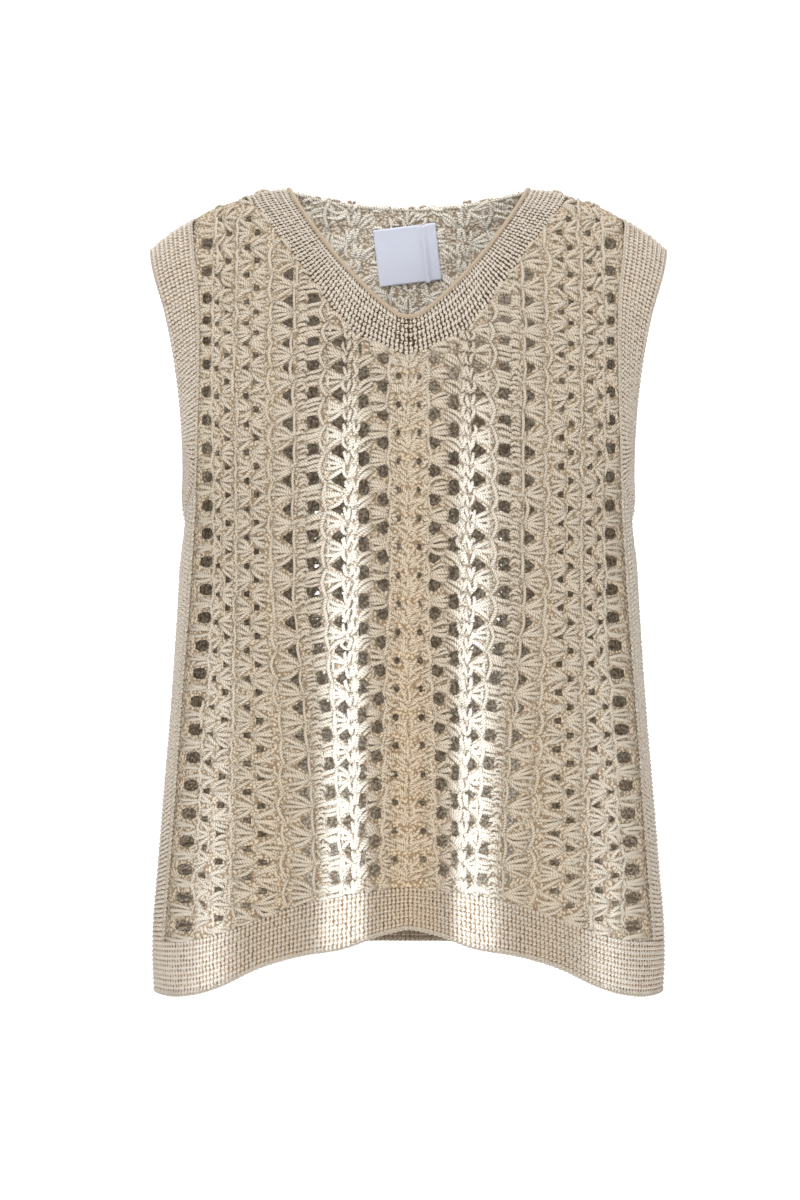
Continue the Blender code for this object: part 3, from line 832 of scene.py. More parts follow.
def fold_shade_and_highlight_group() -> bpy.types.ShaderNodeTree:
    """Painted light of the folds, read from the pieces' attribute: tan painted shade in the hollows, plain between,
    a painted highlight on the ridges.
    """
    group = bpy.data.node_groups.new("fold_shade_and_highlight", "ShaderNodeTree")
    group.interface.new_socket("Tint", in_out="OUTPUT", socket_type="NodeSocketColor")
    end = group.nodes.new("NodeGroupOutput")
    painted_light_tone = group.nodes.new("ShaderNodeAttribute")
    painted_light_tone.attribute_name = "painted_light_tone"
    tint = ramp_node(group, painted_light_tone.outputs["Fac"], (0.0, HOLLOW_PAINTED_SHADE), (1.0, RIDGE_PAINTED_HIGHLIGHT))
    tint.node.color_ramp.elements.new(PLAIN_PAINTED_LIGHT).color = (*PLAIN_PAINTED_SHADE, 1.0)
    group.links.new(tint, end.inputs["Tint"])
    return group


def shaded_by_folds(tree: Tree, colour: Socket, folds: bpy.types.ShaderNodeTree) -> None:
    """Multiply a colour by the folds' painted shade and highlight and feed the shader's base colour.

    Args:
        tree: the material's nodes.
        colour: the colour before the tint.
        folds: the group that gives the folds' painted shade and highlight.
    """
    tint = tree.nodes.new("ShaderNodeGroup")
    tint.node_tree = folds
    mix = tree.nodes.new("ShaderNodeMix")
    mix.data_type = "RGBA"
    mix.blend_type = "MULTIPLY"
    mix.inputs["Factor"].default_value = 1.0
    tree.links.new(colour, mix.inputs[6])
    tree.links.new(tint.outputs["Tint"], mix.inputs[7])
    tree.links.new(mix.outputs[2], tree.nodes["Principled BSDF"].inputs["Base Color"])


@dataclass(frozen=True)
class YarnFinish:
    """Matt cotton yarn: its lit colour and its painted shade colour, the weights that mix them, and the strength of
    its plies.

    The ramp between the two colours is read at the strand's painted shade, the painted shade of its ply grooves, the
    patches and the fibres, each times its weight, less one; the patches and fibres are random changes of colour.
    """

    name: str
    lit: Colour
    painted_shade: Colour
    turns: float = 0.42
    bump: float = 0.9
    bump_distance: float = 0.0009
    fibre_bump: float = 0.25
    shade_weight: float = 0.6
    ply_groove_shade: float = 0.75
    patch_weight: float = 0.3
    fibre_weight: float = 1.3
    painted_shade_at: float = 0.05
    lit_at: float = 0.85

    def make(
        self,
        plies: bpy.types.ShaderNodeTree,
        fuzz: bpy.types.ShaderNodeTree,
        folds: bpy.types.ShaderNodeTree,
    ) -> bpy.types.Material:
        """Build the yarn's material.

        Args:
            plies: the group that winds the plies.
            fuzz: the group of fibres and patches.
            folds: the group of the folds' painted shade and highlight.

        Returns:
            The material.
        """
        settings = {"Roughness": 0.88, "Sheen Weight": 0.08, "Sheen Roughness": 0.5, "Specular IOR Level": 0.25}
        material = new_material(self.name, settings)
        tree = material.node_tree
        yarn = group_node(tree, plies, "UV")
        yarn.inputs["Turns"].default_value = self.turns
        height = yarn.outputs["Height"]
        cotton = group_node(tree, fuzz, "Object")
        painted_light_tone = math_node(tree, "MULTIPLY_ADD", yarn.outputs["Shade"], self.shade_weight, -1.0)
        painted_light_tone = math_node(tree, "MULTIPLY_ADD", height, self.ply_groove_shade, painted_light_tone)
        painted_light_tone = math_node(tree, "MULTIPLY_ADD", cotton.outputs["Patch"], self.patch_weight, painted_light_tone)
        painted_light_tone = math_node(tree, "MULTIPLY_ADD", cotton.outputs["Fibre"], self.fibre_weight, painted_light_tone)
        shaded_by_folds(tree, ramp_node(tree, painted_light_tone, (self.painted_shade_at, self.painted_shade), (self.lit_at, self.lit)), folds)
        relief = math_node(tree, "MULTIPLY_ADD", cotton.outputs["Fibre"], self.fibre_bump, height)
        bump_node(tree, relief, self.bump, self.bump_distance)
        return material


@dataclass(frozen=True)
class GroundFinish:
    """The ground cloth between the strands, coloured as painted shade: its colour stands in for the shade between
    the strands, darkest between its rounded stitches.
    """

    name: str
    lit: Colour
    painted_shade: Colour
    painted_shade_at: float = 0.02
    lit_at: float = 0.5
    bump: float = 0.9
    bump_distance: float = 0.0014

    def make(self, stitches: bpy.types.ShaderNodeTree, folds: bpy.types.ShaderNodeTree) -> bpy.types.Material:
        """Build the ground's material from the groups of stitches and of the folds' painted shade and highlight."""
        material = new_material(self.name, {"Roughness": 0.95, "Specular IOR Level": 0.15})
        tree = material.node_tree
        height = group_node(tree, stitches, "Object").outputs["Height"]
        shaded_by_folds(tree, ramp_node(tree, height, (self.painted_shade_at, self.painted_shade), (self.lit_at, self.lit)), folds)
        bump_node(tree, height, self.bump, self.bump_distance)
        return material


@dataclass(frozen=True)
class SatinFinish:
    """Smooth woven satin of the label, left blank."""

    name: str
    colour: Colour
    threads: float = 260.0
    bump: float = 0.12
    bump_distance: float = 0.0002

    def make(self) -> bpy.types.Material:
        """Build the satin's material: fine threads across the ribbon, in the bump alone."""
        settings = {"Base Color": (*self.colour, 1.0), "Roughness": 0.42, "Sheen Weight": 0.3}
        material = new_material(self.name, settings)
        tree = material.node_tree
        place = tree.nodes.new("ShaderNodeTexCoord")
        wave = tree.nodes.new("ShaderNodeTexWave")
        wave.bands_direction = "Z"
        wave.inputs["Scale"].default_value = self.threads
        tree.links.new(place.outputs["Object"], wave.inputs["Vector"])
        bump_node(tree, wave.outputs["Fac"], self.bump, self.bump_distance)
        return material


@dataclass
class Finishes:
    """All the materials of the top, made once."""

    lace: bpy.types.Material
    band: bpy.types.Material
    lace_ground: bpy.types.Material
    band_ground: bpy.types.Material
    neck_ground: bpy.types.Material
    roll: bpy.types.Material
    satin: bpy.types.Material

    @classmethod
    def build(cls) -> Finishes:
        """Make the shared groups and every finish."""
        plies, fuzz, stitches, folds = plied_yarn_group(), fuzz_group(), stitch_group(), fold_shade_and_highlight_group()
        lace = YarnFinish("openwork_yarn", (0.93, 0.89, 0.815), (0.44, 0.36, 0.27))
        band = YarnFinish("band_yarn", (0.90, 0.87, 0.825), (0.45, 0.375, 0.29))
        roll = YarnFinish("rolled_edge_yarn", (0.62, 0.54, 0.44), (0.42, 0.34, 0.25), turns=0.7, bump=0.35)
        # The grounds' colours are painted shade; the bands' is darker and the neck band's nearly black, so that they
        # show as shade between the stitches
        lace_ground = GroundFinish("openwork_ground", (0.93, 0.87, 0.775), (0.42, 0.345, 0.255))
        band_ground = GroundFinish("band_ground", (0.56, 0.43, 0.30), (0.26, 0.18, 0.11))
        neck_ground = GroundFinish("neck_ground", (0.20, 0.14, 0.085), (0.07, 0.045, 0.025))
        return cls(
            lace=lace.make(plies, fuzz, folds),
            band=band.make(plies, fuzz, folds),
            lace_ground=lace_ground.make(stitches, folds),
            band_ground=band_ground.make(stitches, folds),
            neck_ground=neck_ground.make(stitches, folds),
            roll=roll.make(plies, fuzz, folds),
            satin=SatinFinish("label_satin", (0.63, 0.66, 0.77)).make(),
        )


# --- Openwork panels ------------------------------------------------------------------------------------------

# One repeat of the openwork on one half of a panel, from the centre to the seam. A strand is a list of places
# (distance from the centre at the chest, rows down from the middle of the triangular gap, lift) and a radius.
Strand = tuple[list[tuple[float, float, float]], float]
# A fan's outermost posts are shorter by the first share, its posts' middles are spread by the second share of
# their ends, and its foot is the third of a row high
FAN_ROUNDING = 0.14
FAN_MIDDLE = 0.62
FAN_FOOT = 0.12


def fan(
    foot: tuple[float, float], end: float, spread: float, posts: int, radius: float = 1.2, puff: float = 0.8
) -> list[Strand]:
    """Posts that rise from one foot and spread to a line, bulging in the middle.

    Args:
        foot: chart place and row of the foot.
        end: chart place that the posts reach.
        spread: rows between the first and the last post's end.
        posts: number of posts.
        radius: yarn radius.
        puff: lift of the middle of each post.

    Returns:
        The posts as strands.
    """
    made = []
    for number in range(posts):
        share = number / (posts - 1) - 0.5
        far = end - FAN_ROUNDING * (end - foot[0]) * abs(share) * 2
        start = (foot[0], foot[1] + share * FAN_FOOT, 0.2)
        middle = ((foot[0] + far) / 2, foot[1] + share * spread * FAN_MIDDLE, puff)
        made.append(([start, middle, (far, foot[1] + share * spread, 0.3)], radius))
    return made


def inner_lace() -> list[Strand]:
    """Strands from the centre line to the braid, with its petals, thin strand and round puffs."""
    centre: list[Strand] = [
        ([(6.8, 0.70, 0.3), (3.6, 0.80, 0.9), (0.2, 0.93, 0.3)], 1.2),
        ([(6.4, 0.80, 0.2), (3.6, 0.93, 0.8), (0.2, 1.06, 0.2)], 1.2),
        ([(6.6, -0.06, 0.2), (3.4, 0.02, 0.7), (0.6, 0.12, 0.2)], 1.1),
        ([(0.3, 0.36, 0.2), (1.6, 0.62, 0.9), (0.2, 0.90, 0.2)], 1.2),
        ([(6.0, 0.30, 0.2), (3.4, 0.50, 0.9), (0.2, 0.62, 0.2)], 1.2),
        ([(10.4, 0.62, 0.2), (6.0, 0.66, 1.0), (1.4, 0.80, 0.2)], 1.2),
        ([(15.8, 0.60, 0.3), (12.0, 0.72, 0.8), (7.6, 0.82, 0.3)], 1.1),
        ([(15.8, 0.74, 0.3), (12.0, 0.88, 0.8), (7.6, 0.95, 0.3)], 1.1),
    ]
    petal = fan((16.4, 0.30), 10.8, 0.52, 4, 1.1, 1.2)
    strand: list[Strand] = [
        ([(15.4, -0.36, 0.6), (15.0, -0.10, 0.6), (16.6, 0.12, 0.8), (17.0, 0.38, 1.0), (15.4, 0.66, 0.6)], 1.15),
    ]
    puff: list[Strand] = [
        ([(17.6, 0.22, 0.6), (21.5, 0.11, 1.4), (26.5, 0.02, 1.6), (31.0, 0.02, 0.6)], 1.25),
        ([(18.0, 0.25, 0.7), (22.5, 0.19, 2.1), (27.5, 0.13, 2.3), (32.2, 0.13, 0.6)], 1.25),
        ([(18.2, 0.28, 0.8), (23.0, 0.28, 2.3), (28.0, 0.26, 2.5), (32.8, 0.25, 0.6)], 1.25),
        ([(18.0, 0.31, 0.7), (22.5, 0.36, 2.0), (27.5, 0.39, 2.2), (32.6, 0.38, 0.6)], 1.25),
        ([(17.8, 0.34, 0.5), (21.5, 0.42, 1.3), (27.0, 0.49, 1.5), (31.6, 0.49, 0.5)], 1.25),
    ]
    loops: list[Strand] = [
        ([(29.5, 0.52, 0.5), (34.0, 0.58, 1.6), (38.8, 0.68, 1.6), (43.0, 0.92, 0.5)], 1.3),
        ([(29.0, 0.60, 0.5), (33.5, 0.70, 1.7), (37.8, 0.82, 1.6), (42.4, 1.04, 0.4)], 1.3),
        ([(28.8, 0.70, 0.3), (32.6, 0.82, 1.2), (37.5, 0.97, 0.9)], 1.2),
    ]
    return centre + petal + strand + puff + loops


def braid() -> list[Strand]:
    """Plaited column beside the triangular gaps: slanting posts and a chain of V-shaped links."""
    made: list[Strand] = []
    for start in (0.0, 0.5):
        made += [
            ([(42.2, start + 0.02, 0.6), (43.4, start + 0.20, 1.5), (46.6, start + 0.46, 1.0)], 1.3),
            ([(46.4, start - 0.04, 0.8), (44.9, start + 0.14, 1.7), (43.4, start + 0.36, 0.8)], 1.25),
            ([(49.9, start + 0.44, 1.2), (48.3, start + 0.26, 2.4), (47.5, start + 0.03, 1.4)], 1.3),
            ([(50.5, start + 0.44, 1.2), (52.5, start + 0.27, 2.4), (53.2, start + 0.04, 1.2)], 1.25),
        ]
    return made


def outer_lace() -> list[Strand]:
    """Strands from the braid to the seam: shells, zigzag strands, bars, ladder loops and close fans."""
    shell: list[Strand] = [
        ([(53.6, 0.45, 0.8), (60.0, 0.32, 1.6), (67.4, 0.17, 0.6)], 1.3),
        ([(53.8, 0.48, 0.9), (61.0, 0.45, 2.0), (69.2, 0.38, 0.8)], 1.3),
        ([(53.8, 0.51, 0.9), (61.5, 0.59, 2.0), (69.8, 0.62, 0.8)], 1.3),
        ([(53.4, 0.54, 0.8), (60.0, 0.71, 1.6), (67.8, 0.95, 0.6)], 1.3),
        ([(54.6, 0.40, 0.8), (52.6, 0.48, 1.9), (54.8, 0.58, 0.8)], 1.1),
        ([(66.5, 0.28, 0.8), (65.2, 0.50, 1.8), (66.5, 0.76, 0.8)], 1.0),
    ]
    zigzag: list[Strand] = [
        ([(67.6, 0.06, 1.2), (70.4, 0.30, 1.4), (72.3, 0.56, 1.4), (70.8, 0.82, 1.4), (67.6, 1.08, 1.2)], 1.3),
    ]
    bars: list[Strand] = [
        ([(70.4, 0.14, 0.5), (75.0, 0.21, 1.3), (80.0, 0.26, 1.3), (85.4, 0.34, 0.5)], 1.25),
        ([(71.6, 0.30, 0.5), (76.0, 0.34, 1.5), (80.5, 0.40, 1.5), (86.0, 0.47, 0.5)], 1.25),
        ([(72.4, 0.46, 0.5), (77.0, 0.49, 1.5), (81.5, 0.55, 1.4), (86.0, 0.60, 0.5)], 1.25),
        ([(72.0, 0.64, 0.4), (76.5, 0.64, 1.1), (81.0, 0.68, 1.1), (85.4, 0.72, 0.4)], 1.2),
    ]
    ladder: list[Strand] = [
        ([(84.0, row + 0.04, 0.4), (85.6, row - 0.06, 1.4), (88.8, row - 0.03, 1.5), (91.8, row + 0.05, 0.4)], 1.2)
        for row in (0.02, 0.19, 0.36, 0.53, 0.70, 0.87)
    ]
    thin: list[Strand] = [
        ([(94.4, -0.46, 0.7), (95.4, -0.20, 0.7), (95.8, 0.06, 0.7), (95.2, 0.30, 0.7), (94.4, 0.54, 0.8)], 1.05),
        ([(91.4, 0.46, 0.3), (93.2, 0.48, 0.7), (96.8, 0.52, 0.4)], 1.1),
    ]
    upright: list[Strand] = [
        ([(113.0, 0.02, 0.5), (115.2, 0.28, 0.8), (116.0, 0.54, 0.8), (115.0, 0.80, 0.8), (113.0, 1.06, 0.5)], 1.15),
        ([(143.6, 0.02, 0.4), (144.6, 0.28, 0.8), (143.4, 0.54, 0.7), (144.4, 0.80, 0.8), (143.6, 1.06, 0.4)], 1.1),
        ([(163.4, -0.15, 0.5), (162.6, 0.10, 0.7), (163.8, 0.35, 0.9), (162.6, 0.60, 0.7), (163.4, 0.86, 0.5)], 1.1),
    ]
    made = shell + zigzag + bars + ladder + thin
    made += fan((96.6, 0.54), 113.6, 0.86, 5, 1.25, 1.4) + upright[:1]
    made += fan((130.4, 0.02), 117.0, 0.90, 5, 1.25, 1.2)
    made += fan((131.2, 0.52), 143.0, 0.86, 5, 1.25, 1.2) + upright[1:2]
    made += fan((155.8, 0.02), 145.4, 0.86, 5, 1.2, 1.1)
    made += fan((156.6, 0.52), 163.4, 0.84, 4, 1.2, 1.0)
    return made + fan((164.0, 0.35), 174.6, 0.36, 3, 1.2, 0.9) + upright[2:]


def crossings() -> list[Strand]:
    """Strands that cross the two columns of gaps of the back."""
    return [
        ([(51.2, 0.18, 0.2), (55.8, 0.02, 0.6), (59.6, -0.14, 0.2)], 1.0),
        ([(74.8, -0.20, 0.2), (79.3, -0.04, 0.6), (84.0, 0.14, 0.2)], 1.0),
    ]


# Lines of the ground cloth: chart place, middle of the gap in rows, half a gap in rows, and whether a gap lies
# between the line and the next one on the front and on the back
GROUND_LINES = [
    (0.0, 0.34, 0.25, False, False),
    (6.4, 0.36, 0.07, True, False),
    (8.6, 0.36, 0.14, True, False),
    (10.6, 0.36, 0.06, False, False),
    (13.2, 0.50, 0.22, False, False),
    (16.6, 0.70, 0.15, True, False),
    (20.6, 0.70, 0.26, True, False),
    (26.0, 0.68, 0.10, False, False),
    (29.0, 0.40, 0.20, False, False),
    (32.6, 0.28, 0.16, True, False),
    (35.0, 0.28, 0.28, True, False),
    (39.0, 0.28, 0.28, True, False),
    (41.4, 0.28, 0.18, False, False),
    (46.9, 0.13, 0.25, False, False),
    (51.4, 0.00, 0.30, True, False),
    (53.4, 0.00, 0.31, True, True),
    (59.0, 0.00, 0.18, True, False),
    (63.5, 0.02, 0.05, False, False),
    (68.6, 0.00, 0.15, False, False),
    (74.0, -0.034, 0.14, True, False),
    (76.5, -0.034, 0.23, True, True),
    (82.2, -0.034, 0.24, True, False),
    (84.6, -0.034, 0.15, False, False),
    (90.0, 0.00, 0.25, False, False),
    (95.8, 0.034, 0.26, True, False),
    (98.0, 0.034, 0.24, True, False),
    (101.4, 0.034, 0.14, True, False),
    (104.4, 0.034, 0.05, False, False),
    (110.0, 0.20, 0.20, False, False),
    (117.0, 0.40, 0.20, False, False),
    (124.2, 0.50, 0.09, True, False),
    (129.0, 0.50, 0.13, False, False),
    (132.6, 0.02, 0.13, True, False),
    (137.4, 0.02, 0.08, False, False),
    (143.5, 0.30, 0.20, False, False),
    (148.6, 0.50, 0.09, True, False),
    (153.4, 0.50, 0.13, False, False),
    (158.0, 0.02, 0.12, True, False),
    (161.8, 0.02, 0.07, False, False),
    (164.6, -0.15, 0.10, True, False),
    (166.6, -0.15, 0.20, True, False),
    (170.2, -0.15, 0.20, True, False),
    (172.2, -0.15, 0.12, False, False),
    (SEAM_PLACE, 0.00, 0.20, False, False),
]
# The back's gaps: their height as a share of the front's, and the height above which they are closed
BACK_GAP_SHARE = 0.25
BACK_GAP_TOP = -120.0
# Room that a gap keeps to the panel's edges
GAP_ROOM = 3.0
# Random spread of a strand's place, row, lift and bend, and of its size
JITTER_PLACE = 0.75
JITTER_ROW = 0.034
JITTER_LIFT = 0.28
JITTER_BEND = 1.1
JITTER_SIZE = (0.84, 1.16)
# A strand with this share of its points this far outside the panel is left out
STRAY_SHARE = 0.5
STRAY_ROOM = -1.0
# Mean lift of the strands, what their own lifts are multiplied by outside and inside, and their thickness
LACE_SINK = -0.35
LACE_PUFF = 1.4
INSIDE_PUFF = 0.5
LACE_THICKNESS = 1.4
INSIDE_THICKNESS = 1.35
# Rows of lace inside the back neck, how much lighter the back's ground is painted, and its painted light where it is
# seen in the neck
NECK_ROWS = 4
BACK_PAINTED_LIGHT_LIFT = 0.12
NECK_PAINTED_LIGHT = 0.85


@dataclass
class OpenworkPanel:
    """Front or back panel: ground cloth with its gaps, and the lace worked over it."""

    side: Side
    pattern: Pattern
    finishes: Finishes
    seed: int
    steps: int = 5
    name: str = field(init=False)

    def __post_init__(self) -> None:
        """Take the node's name from the side."""
        self.name = f"{self.side.value}_panel"

    def ground(self) -> tuple[bpy.types.Object, tuple[float, float], float]:
        """Ground cloth: upright lines crossed by four levels a row, with the cells of the gaps left out.

        A level is the row's number plus the line's middle, less or more half a gap. A cell is left out where it
        lies between a gap's two lines and two levels, and all its corners keep their room to the panel's edges.
        On the back the gaps are lower, and near the neck they are closed, so that no light comes through there.

        Returns:
            The thin shell, and the flat cut's two sizes and area.
        """
        table = np.array([line[:3] for line in GROUND_LINES])
        front = self.side is Side.FRONT
        gap_after = np.array([line[3 if front else 4] for line in GROUND_LINES])
        places = np.concatenate([-table[::-1, 0], table[1:, 0]])
        middle = np.concatenate([table[::-1, 1], table[1:, 1]])
        half = np.concatenate([table[::-1, 2], table[1:, 2]]) * (1.0 if front else BACK_GAP_SHARE)
        gaps = np.concatenate([gap_after[-2::-1], gap_after[:-1]])
        rows = np.arange(-2, ROW_COUNT + 1)
        offsets = np.stack([middle - half, middle, middle + half, middle + 0.5], axis=1)
        levels = (rows[None, :, None] + offsets[:, None, :]).reshape(len(places), -1)
        spread = np.broadcast_to(places[:, None], levels.shape)
        points, _, painted_light_tone, room = self.pattern.on_panel(spread, levels, self.side, 0.0)
        # Painted light: the back's ground is painted lighter, and where it is seen in the neck it gets a fixed,
        # lighter value
        if not front:
            back_brightened = np.minimum(painted_light_tone + BACK_PAINTED_LIGHT_LIFT, 1.0)
            painted_light_tone = np.where(self.pattern.seen_in_neck(points), NECK_PAINTED_LIGHT, back_brightened)
        keep = np.ones((levels.shape[0] - 1, levels.shape[1] - 1), bool)
        in_gap = np.zeros(levels.shape[1] - 1, bool)
        in_gap[0::4] = in_gap[1::4] = True
        free = room > GAP_ROOM
        if not front:
            free &= points[..., 2] < BACK_GAP_TOP
        corners = free[:-1, :-1] & free[1:, :-1] & free[:-1, 1:] & free[1:, 1:]
        both = corners.copy()
        both[:, 0:-1:2] &= corners[:, 1::2]
        both[:, 1::2] &= corners[:, 0:-1:2]
        keep[gaps[:, None] & in_gap[None, :] & both] = False
        size, area = flat_cut(points)
        return cloth_shell(self.name, points, keep, self.finishes.lace_ground, painted_light_tone), size, area

    def lace(
        self, part: str, strands: list[Strand], last: int = ROW_COUNT, face: int = 1, size: float = LACE_THICKNESS
    ) -> bpy.types.Object:
        """Repeat the strands of one zone over all rows and both halves.

        Each strand's control points are smoothed into a curve, moved to its row with a small random shift of
        place, row, lift and bend, mirrored for the other half, and laid on the panel. A strand that would leave
        the panel for half of its points or more is left out.

        Args:
            part: name of the zone.
            strands: the repeat's strands.
            last: the last row that gets them.
            face: 1 on the outer face, -1 on the inner one.
            size: what each strand's radius is multiplied by.

        Returns:
            One mesh of yarn.
        """
        random = np.random.default_rng(self.seed + len(strands))
        made = Strands()
        rows = np.arange(-1, last + 1, dtype=float)
        for controls, radius in strands:
            path = resampled(np.array(controls, float), self.steps)
            copies = np.broadcast_to(path, (2, len(rows), *path.shape)).copy()
            copies[..., 1] += rows[None, :, None]
            copies[..., 0] += random.normal(0, JITTER_PLACE, copies.shape[:2])[..., None]
            copies[..., 1] += random.normal(0, JITTER_ROW, copies.shape[:2])[..., None]
            copies[..., 2] *= LACE_PUFF if face > 0 else INSIDE_PUFF
            copies[..., 2] += random.normal(LACE_SINK, JITTER_LIFT, copies.shape[:2])[..., None]
            bend = np.sin(math.pi * np.linspace(0, 1, self.steps))
            copies[..., 0] += random.normal(0, JITTER_BEND, copies.shape[:2])[..., None] * bend
            copies[..., 1] += random.normal(0, JITTER_BEND / ROW_PITCH, copies.shape[:2])[..., None] * bend
            copies[..., 2] *= face
            copies[..., 0] = np.abs(copies[..., 0])
            copies[0, ..., 0] *= -1
            flat = copies.reshape(-1, *path.shape)
            points, ways, painted_light_tone, room = self.pattern.on_panel(flat[..., 0], flat[..., 1], self.side, flat[..., 2])
            inside = (room < STRAY_ROOM).mean(axis=1) < STRAY_SHARE
            sizes = radius * size * random.uniform(*JITTER_SIZE, len(flat))
            # Painted light: the inside strands that are seen in the neck get full brightness
            if self.side is Side.BACK:
                painted_light_tone = np.where((face < 0) & self.pattern.seen_in_neck(points), 1.0, painted_light_tone)
            made.add(points[inside], ways[inside] * face, sizes[inside], painted_light_tone[inside])
        LOG.info("%s %s: %d triangles", self.name, part, made.triangles)
        return made.make(f"{self.name}_{part}", self.finishes.lace)

    def neck_edge(self) -> bpy.types.Object:
        """One strand along the back's neck edge, just below the panel's upper edge."""
        across = np.linspace(-self.pattern.neck_side, self.pattern.neck_side, 61)
        height = self.pattern.panel_top(across, self.side) - 1.0
        points, ways = self.pattern.body.place(self.pattern.body.turn_at(across, height, self.side), height)
        made = Strands(sides=6)
        # Painted light: the edge strand gets the full brightness of a ridge
        made.add((points - ways * MID_WALL)[None], ways[None], 1.7, 1.0)
        return made.make(f"{self.name}_neck_edge", self.finishes.lace)

    def build(self) -> None:
        ground, size, area = self.ground()
        crossed = crossings() if self.side is Side.BACK else []
        lace = [
            self.lace("inner_lace", inner_lace() + crossed),
            self.lace("braid", braid()),
            self.lace("outer_lace", outer_lace()),
        ]
        if self.side is Side.BACK:
            inside = inner_lace() + braid() + outer_lace()
            lace.append(self.neck_edge())
            lace.append(self.lace("inside_lace", inside, last=NECK_ROWS, face=-1, size=INSIDE_THICKNESS))
        for piece in [ground, *lace]:
            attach(piece, "root")
        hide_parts(self.name)
        LOG.info("%s: cut %.0f x %.0f mm, %.4f square metres", self.name, size[0] / MM, size[1] / MM, area)


# --- Close-worked bands ---------------------------------------------------------------------------------------


@dataclass
class CloseWork:
    """Rows of single crochet over a patch: short fat stitches in a grid, with dots of the ground's painted shade
    between their corners.

    In the dotted rows every other stitch within reach of the middle is thinner, which shows larger dots of that
    painted shade.
    """

    pitch: float = 3.75
    row_pitch: float = 3.7
    radius: float = 2.1
    lift: float = -0.5
    crown: float = 0.45
    slant: float = 0.14
    shift: float = 0.05
    lift_shift: float = 0.12
    size_spread: tuple[float, float] = (0.92, 1.08)
    steps: int = 3
    sides: int = 5
    dotted_rows: tuple[int, ...] = ()
    dotted_reach: float = 3.0
    dotted_share: float = 0.62

    def lay(self, strands: Strands, patch: Patch, body: ClothBody, seed: int) -> None:
        """Cover a patch with stitches.

        A stitch runs across its own cell, from one row's line to the next, leaning forward in even rows and
        back in odd ones, as work to and fro does, and it bulges in the middle.

        Args:
            strands: where the stitches are added.
            patch: the piece's mid-wall surface.
            body: the form whose folds give the painted shade and highlight.
            seed: seed of the small random shifts.
        """
        random = np.random.default_rng(seed)
        count, rows = round(patch.length() / self.pitch), max(2, round(patch.width() / self.row_pitch))
        row, stitch = np.meshgrid(np.arange(rows), np.arange(count), indexing="ij")
        row, stitch = row.reshape(-1, 1), stitch.reshape(-1, 1)
        share = np.linspace(0, 1, self.steps)
        across = (row + 0.02 + 0.96 * share) / rows
        lean = np.where(row % 2 == 1, -self.slant, self.slant) * (2 * share - 1)
        along = (stitch + 0.5 + lean + random.normal(0, self.shift, row.shape)) / count
        lift = self.lift + self.crown * np.sin(math.pi * share) + random.normal(0, self.lift_shift, row.shape)
        points, ways = patch.read(across, along, lift)
        radius = self.radius * random.uniform(*self.size_spread, len(row))
        from_middle = np.abs(stitch - (count - 1) / 2)
        dotted = np.isin(row, self.dotted_rows) & (from_middle < self.dotted_reach)
        thin = (dotted & ((from_middle.astype(int) + row) % 2 == 1))[:, 0]
        strands.add(points, ways, radius * np.where(thin, self.dotted_share, 1.0), body.band_painted_light(points))


@dataclass(frozen=True)
class EdgeChain:
    """Chain stitches along a line of a patch: links that lean out to both sides, by the width, in turn."""

    across: float
    pitch: float
    lift: float
    radius: float
    width: float = 1.5
    crown: float = 0.5
    start: float = -0.1
    overlap: float = 1.25

    def lay(self, strands: Strands, patch: Patch) -> None:
        """Add the links to the strands, each longer than its pitch, so that it reaches under the next."""
        count = max(4, round(patch.length() / self.pitch))
        share = np.linspace(0, 1, 4)
        reach = self.width / max(patch.width(), 1.0)
        lift = self.lift + self.crown * np.sin(math.pi * share)
        for hand in (-1, 1):
            along = (np.arange(count)[:, None] + self.start + self.overlap * share) / count
            offset = self.across + hand * reach * np.sin(math.pi * np.clip(share * 1.1, 0, 1))
            points, ways = patch.read(np.broadcast_to(offset, along.shape), along, lift)
            strands.add(points, ways, self.radius)


@dataclass(frozen=True)
class RolledEdge:
    """One smooth strand along the whole of a patch, near its free edge."""

    across: float = 0.965
    lift: float = 0.6
    radius: float = 2.0
    steps: int = 161
    sides: int = 8

    def lay(self, strands: Strands, patch: Patch) -> None:
        """Add the strand, rounder than the others."""
        strands.sides = self.sides
        share = np.linspace(0, 1, self.steps)[None, :]
        points, ways = patch.read(np.full(share.shape, self.across), share, self.lift)
        strands.add(points, ways, self.radius)


FREE_EDGE = EdgeChain(0.975, 4.4, 0.2, 1.2, 1.2)
PANEL_SEAM = EdgeChain(0.02, 4.4, 0.1, 1.2, 0.9)
STRIP_SEAMS = (EdgeChain(0.03, 5.0, 0.5, 1.0), EdgeChain(0.97, 5.0, 0.5, 1.0))


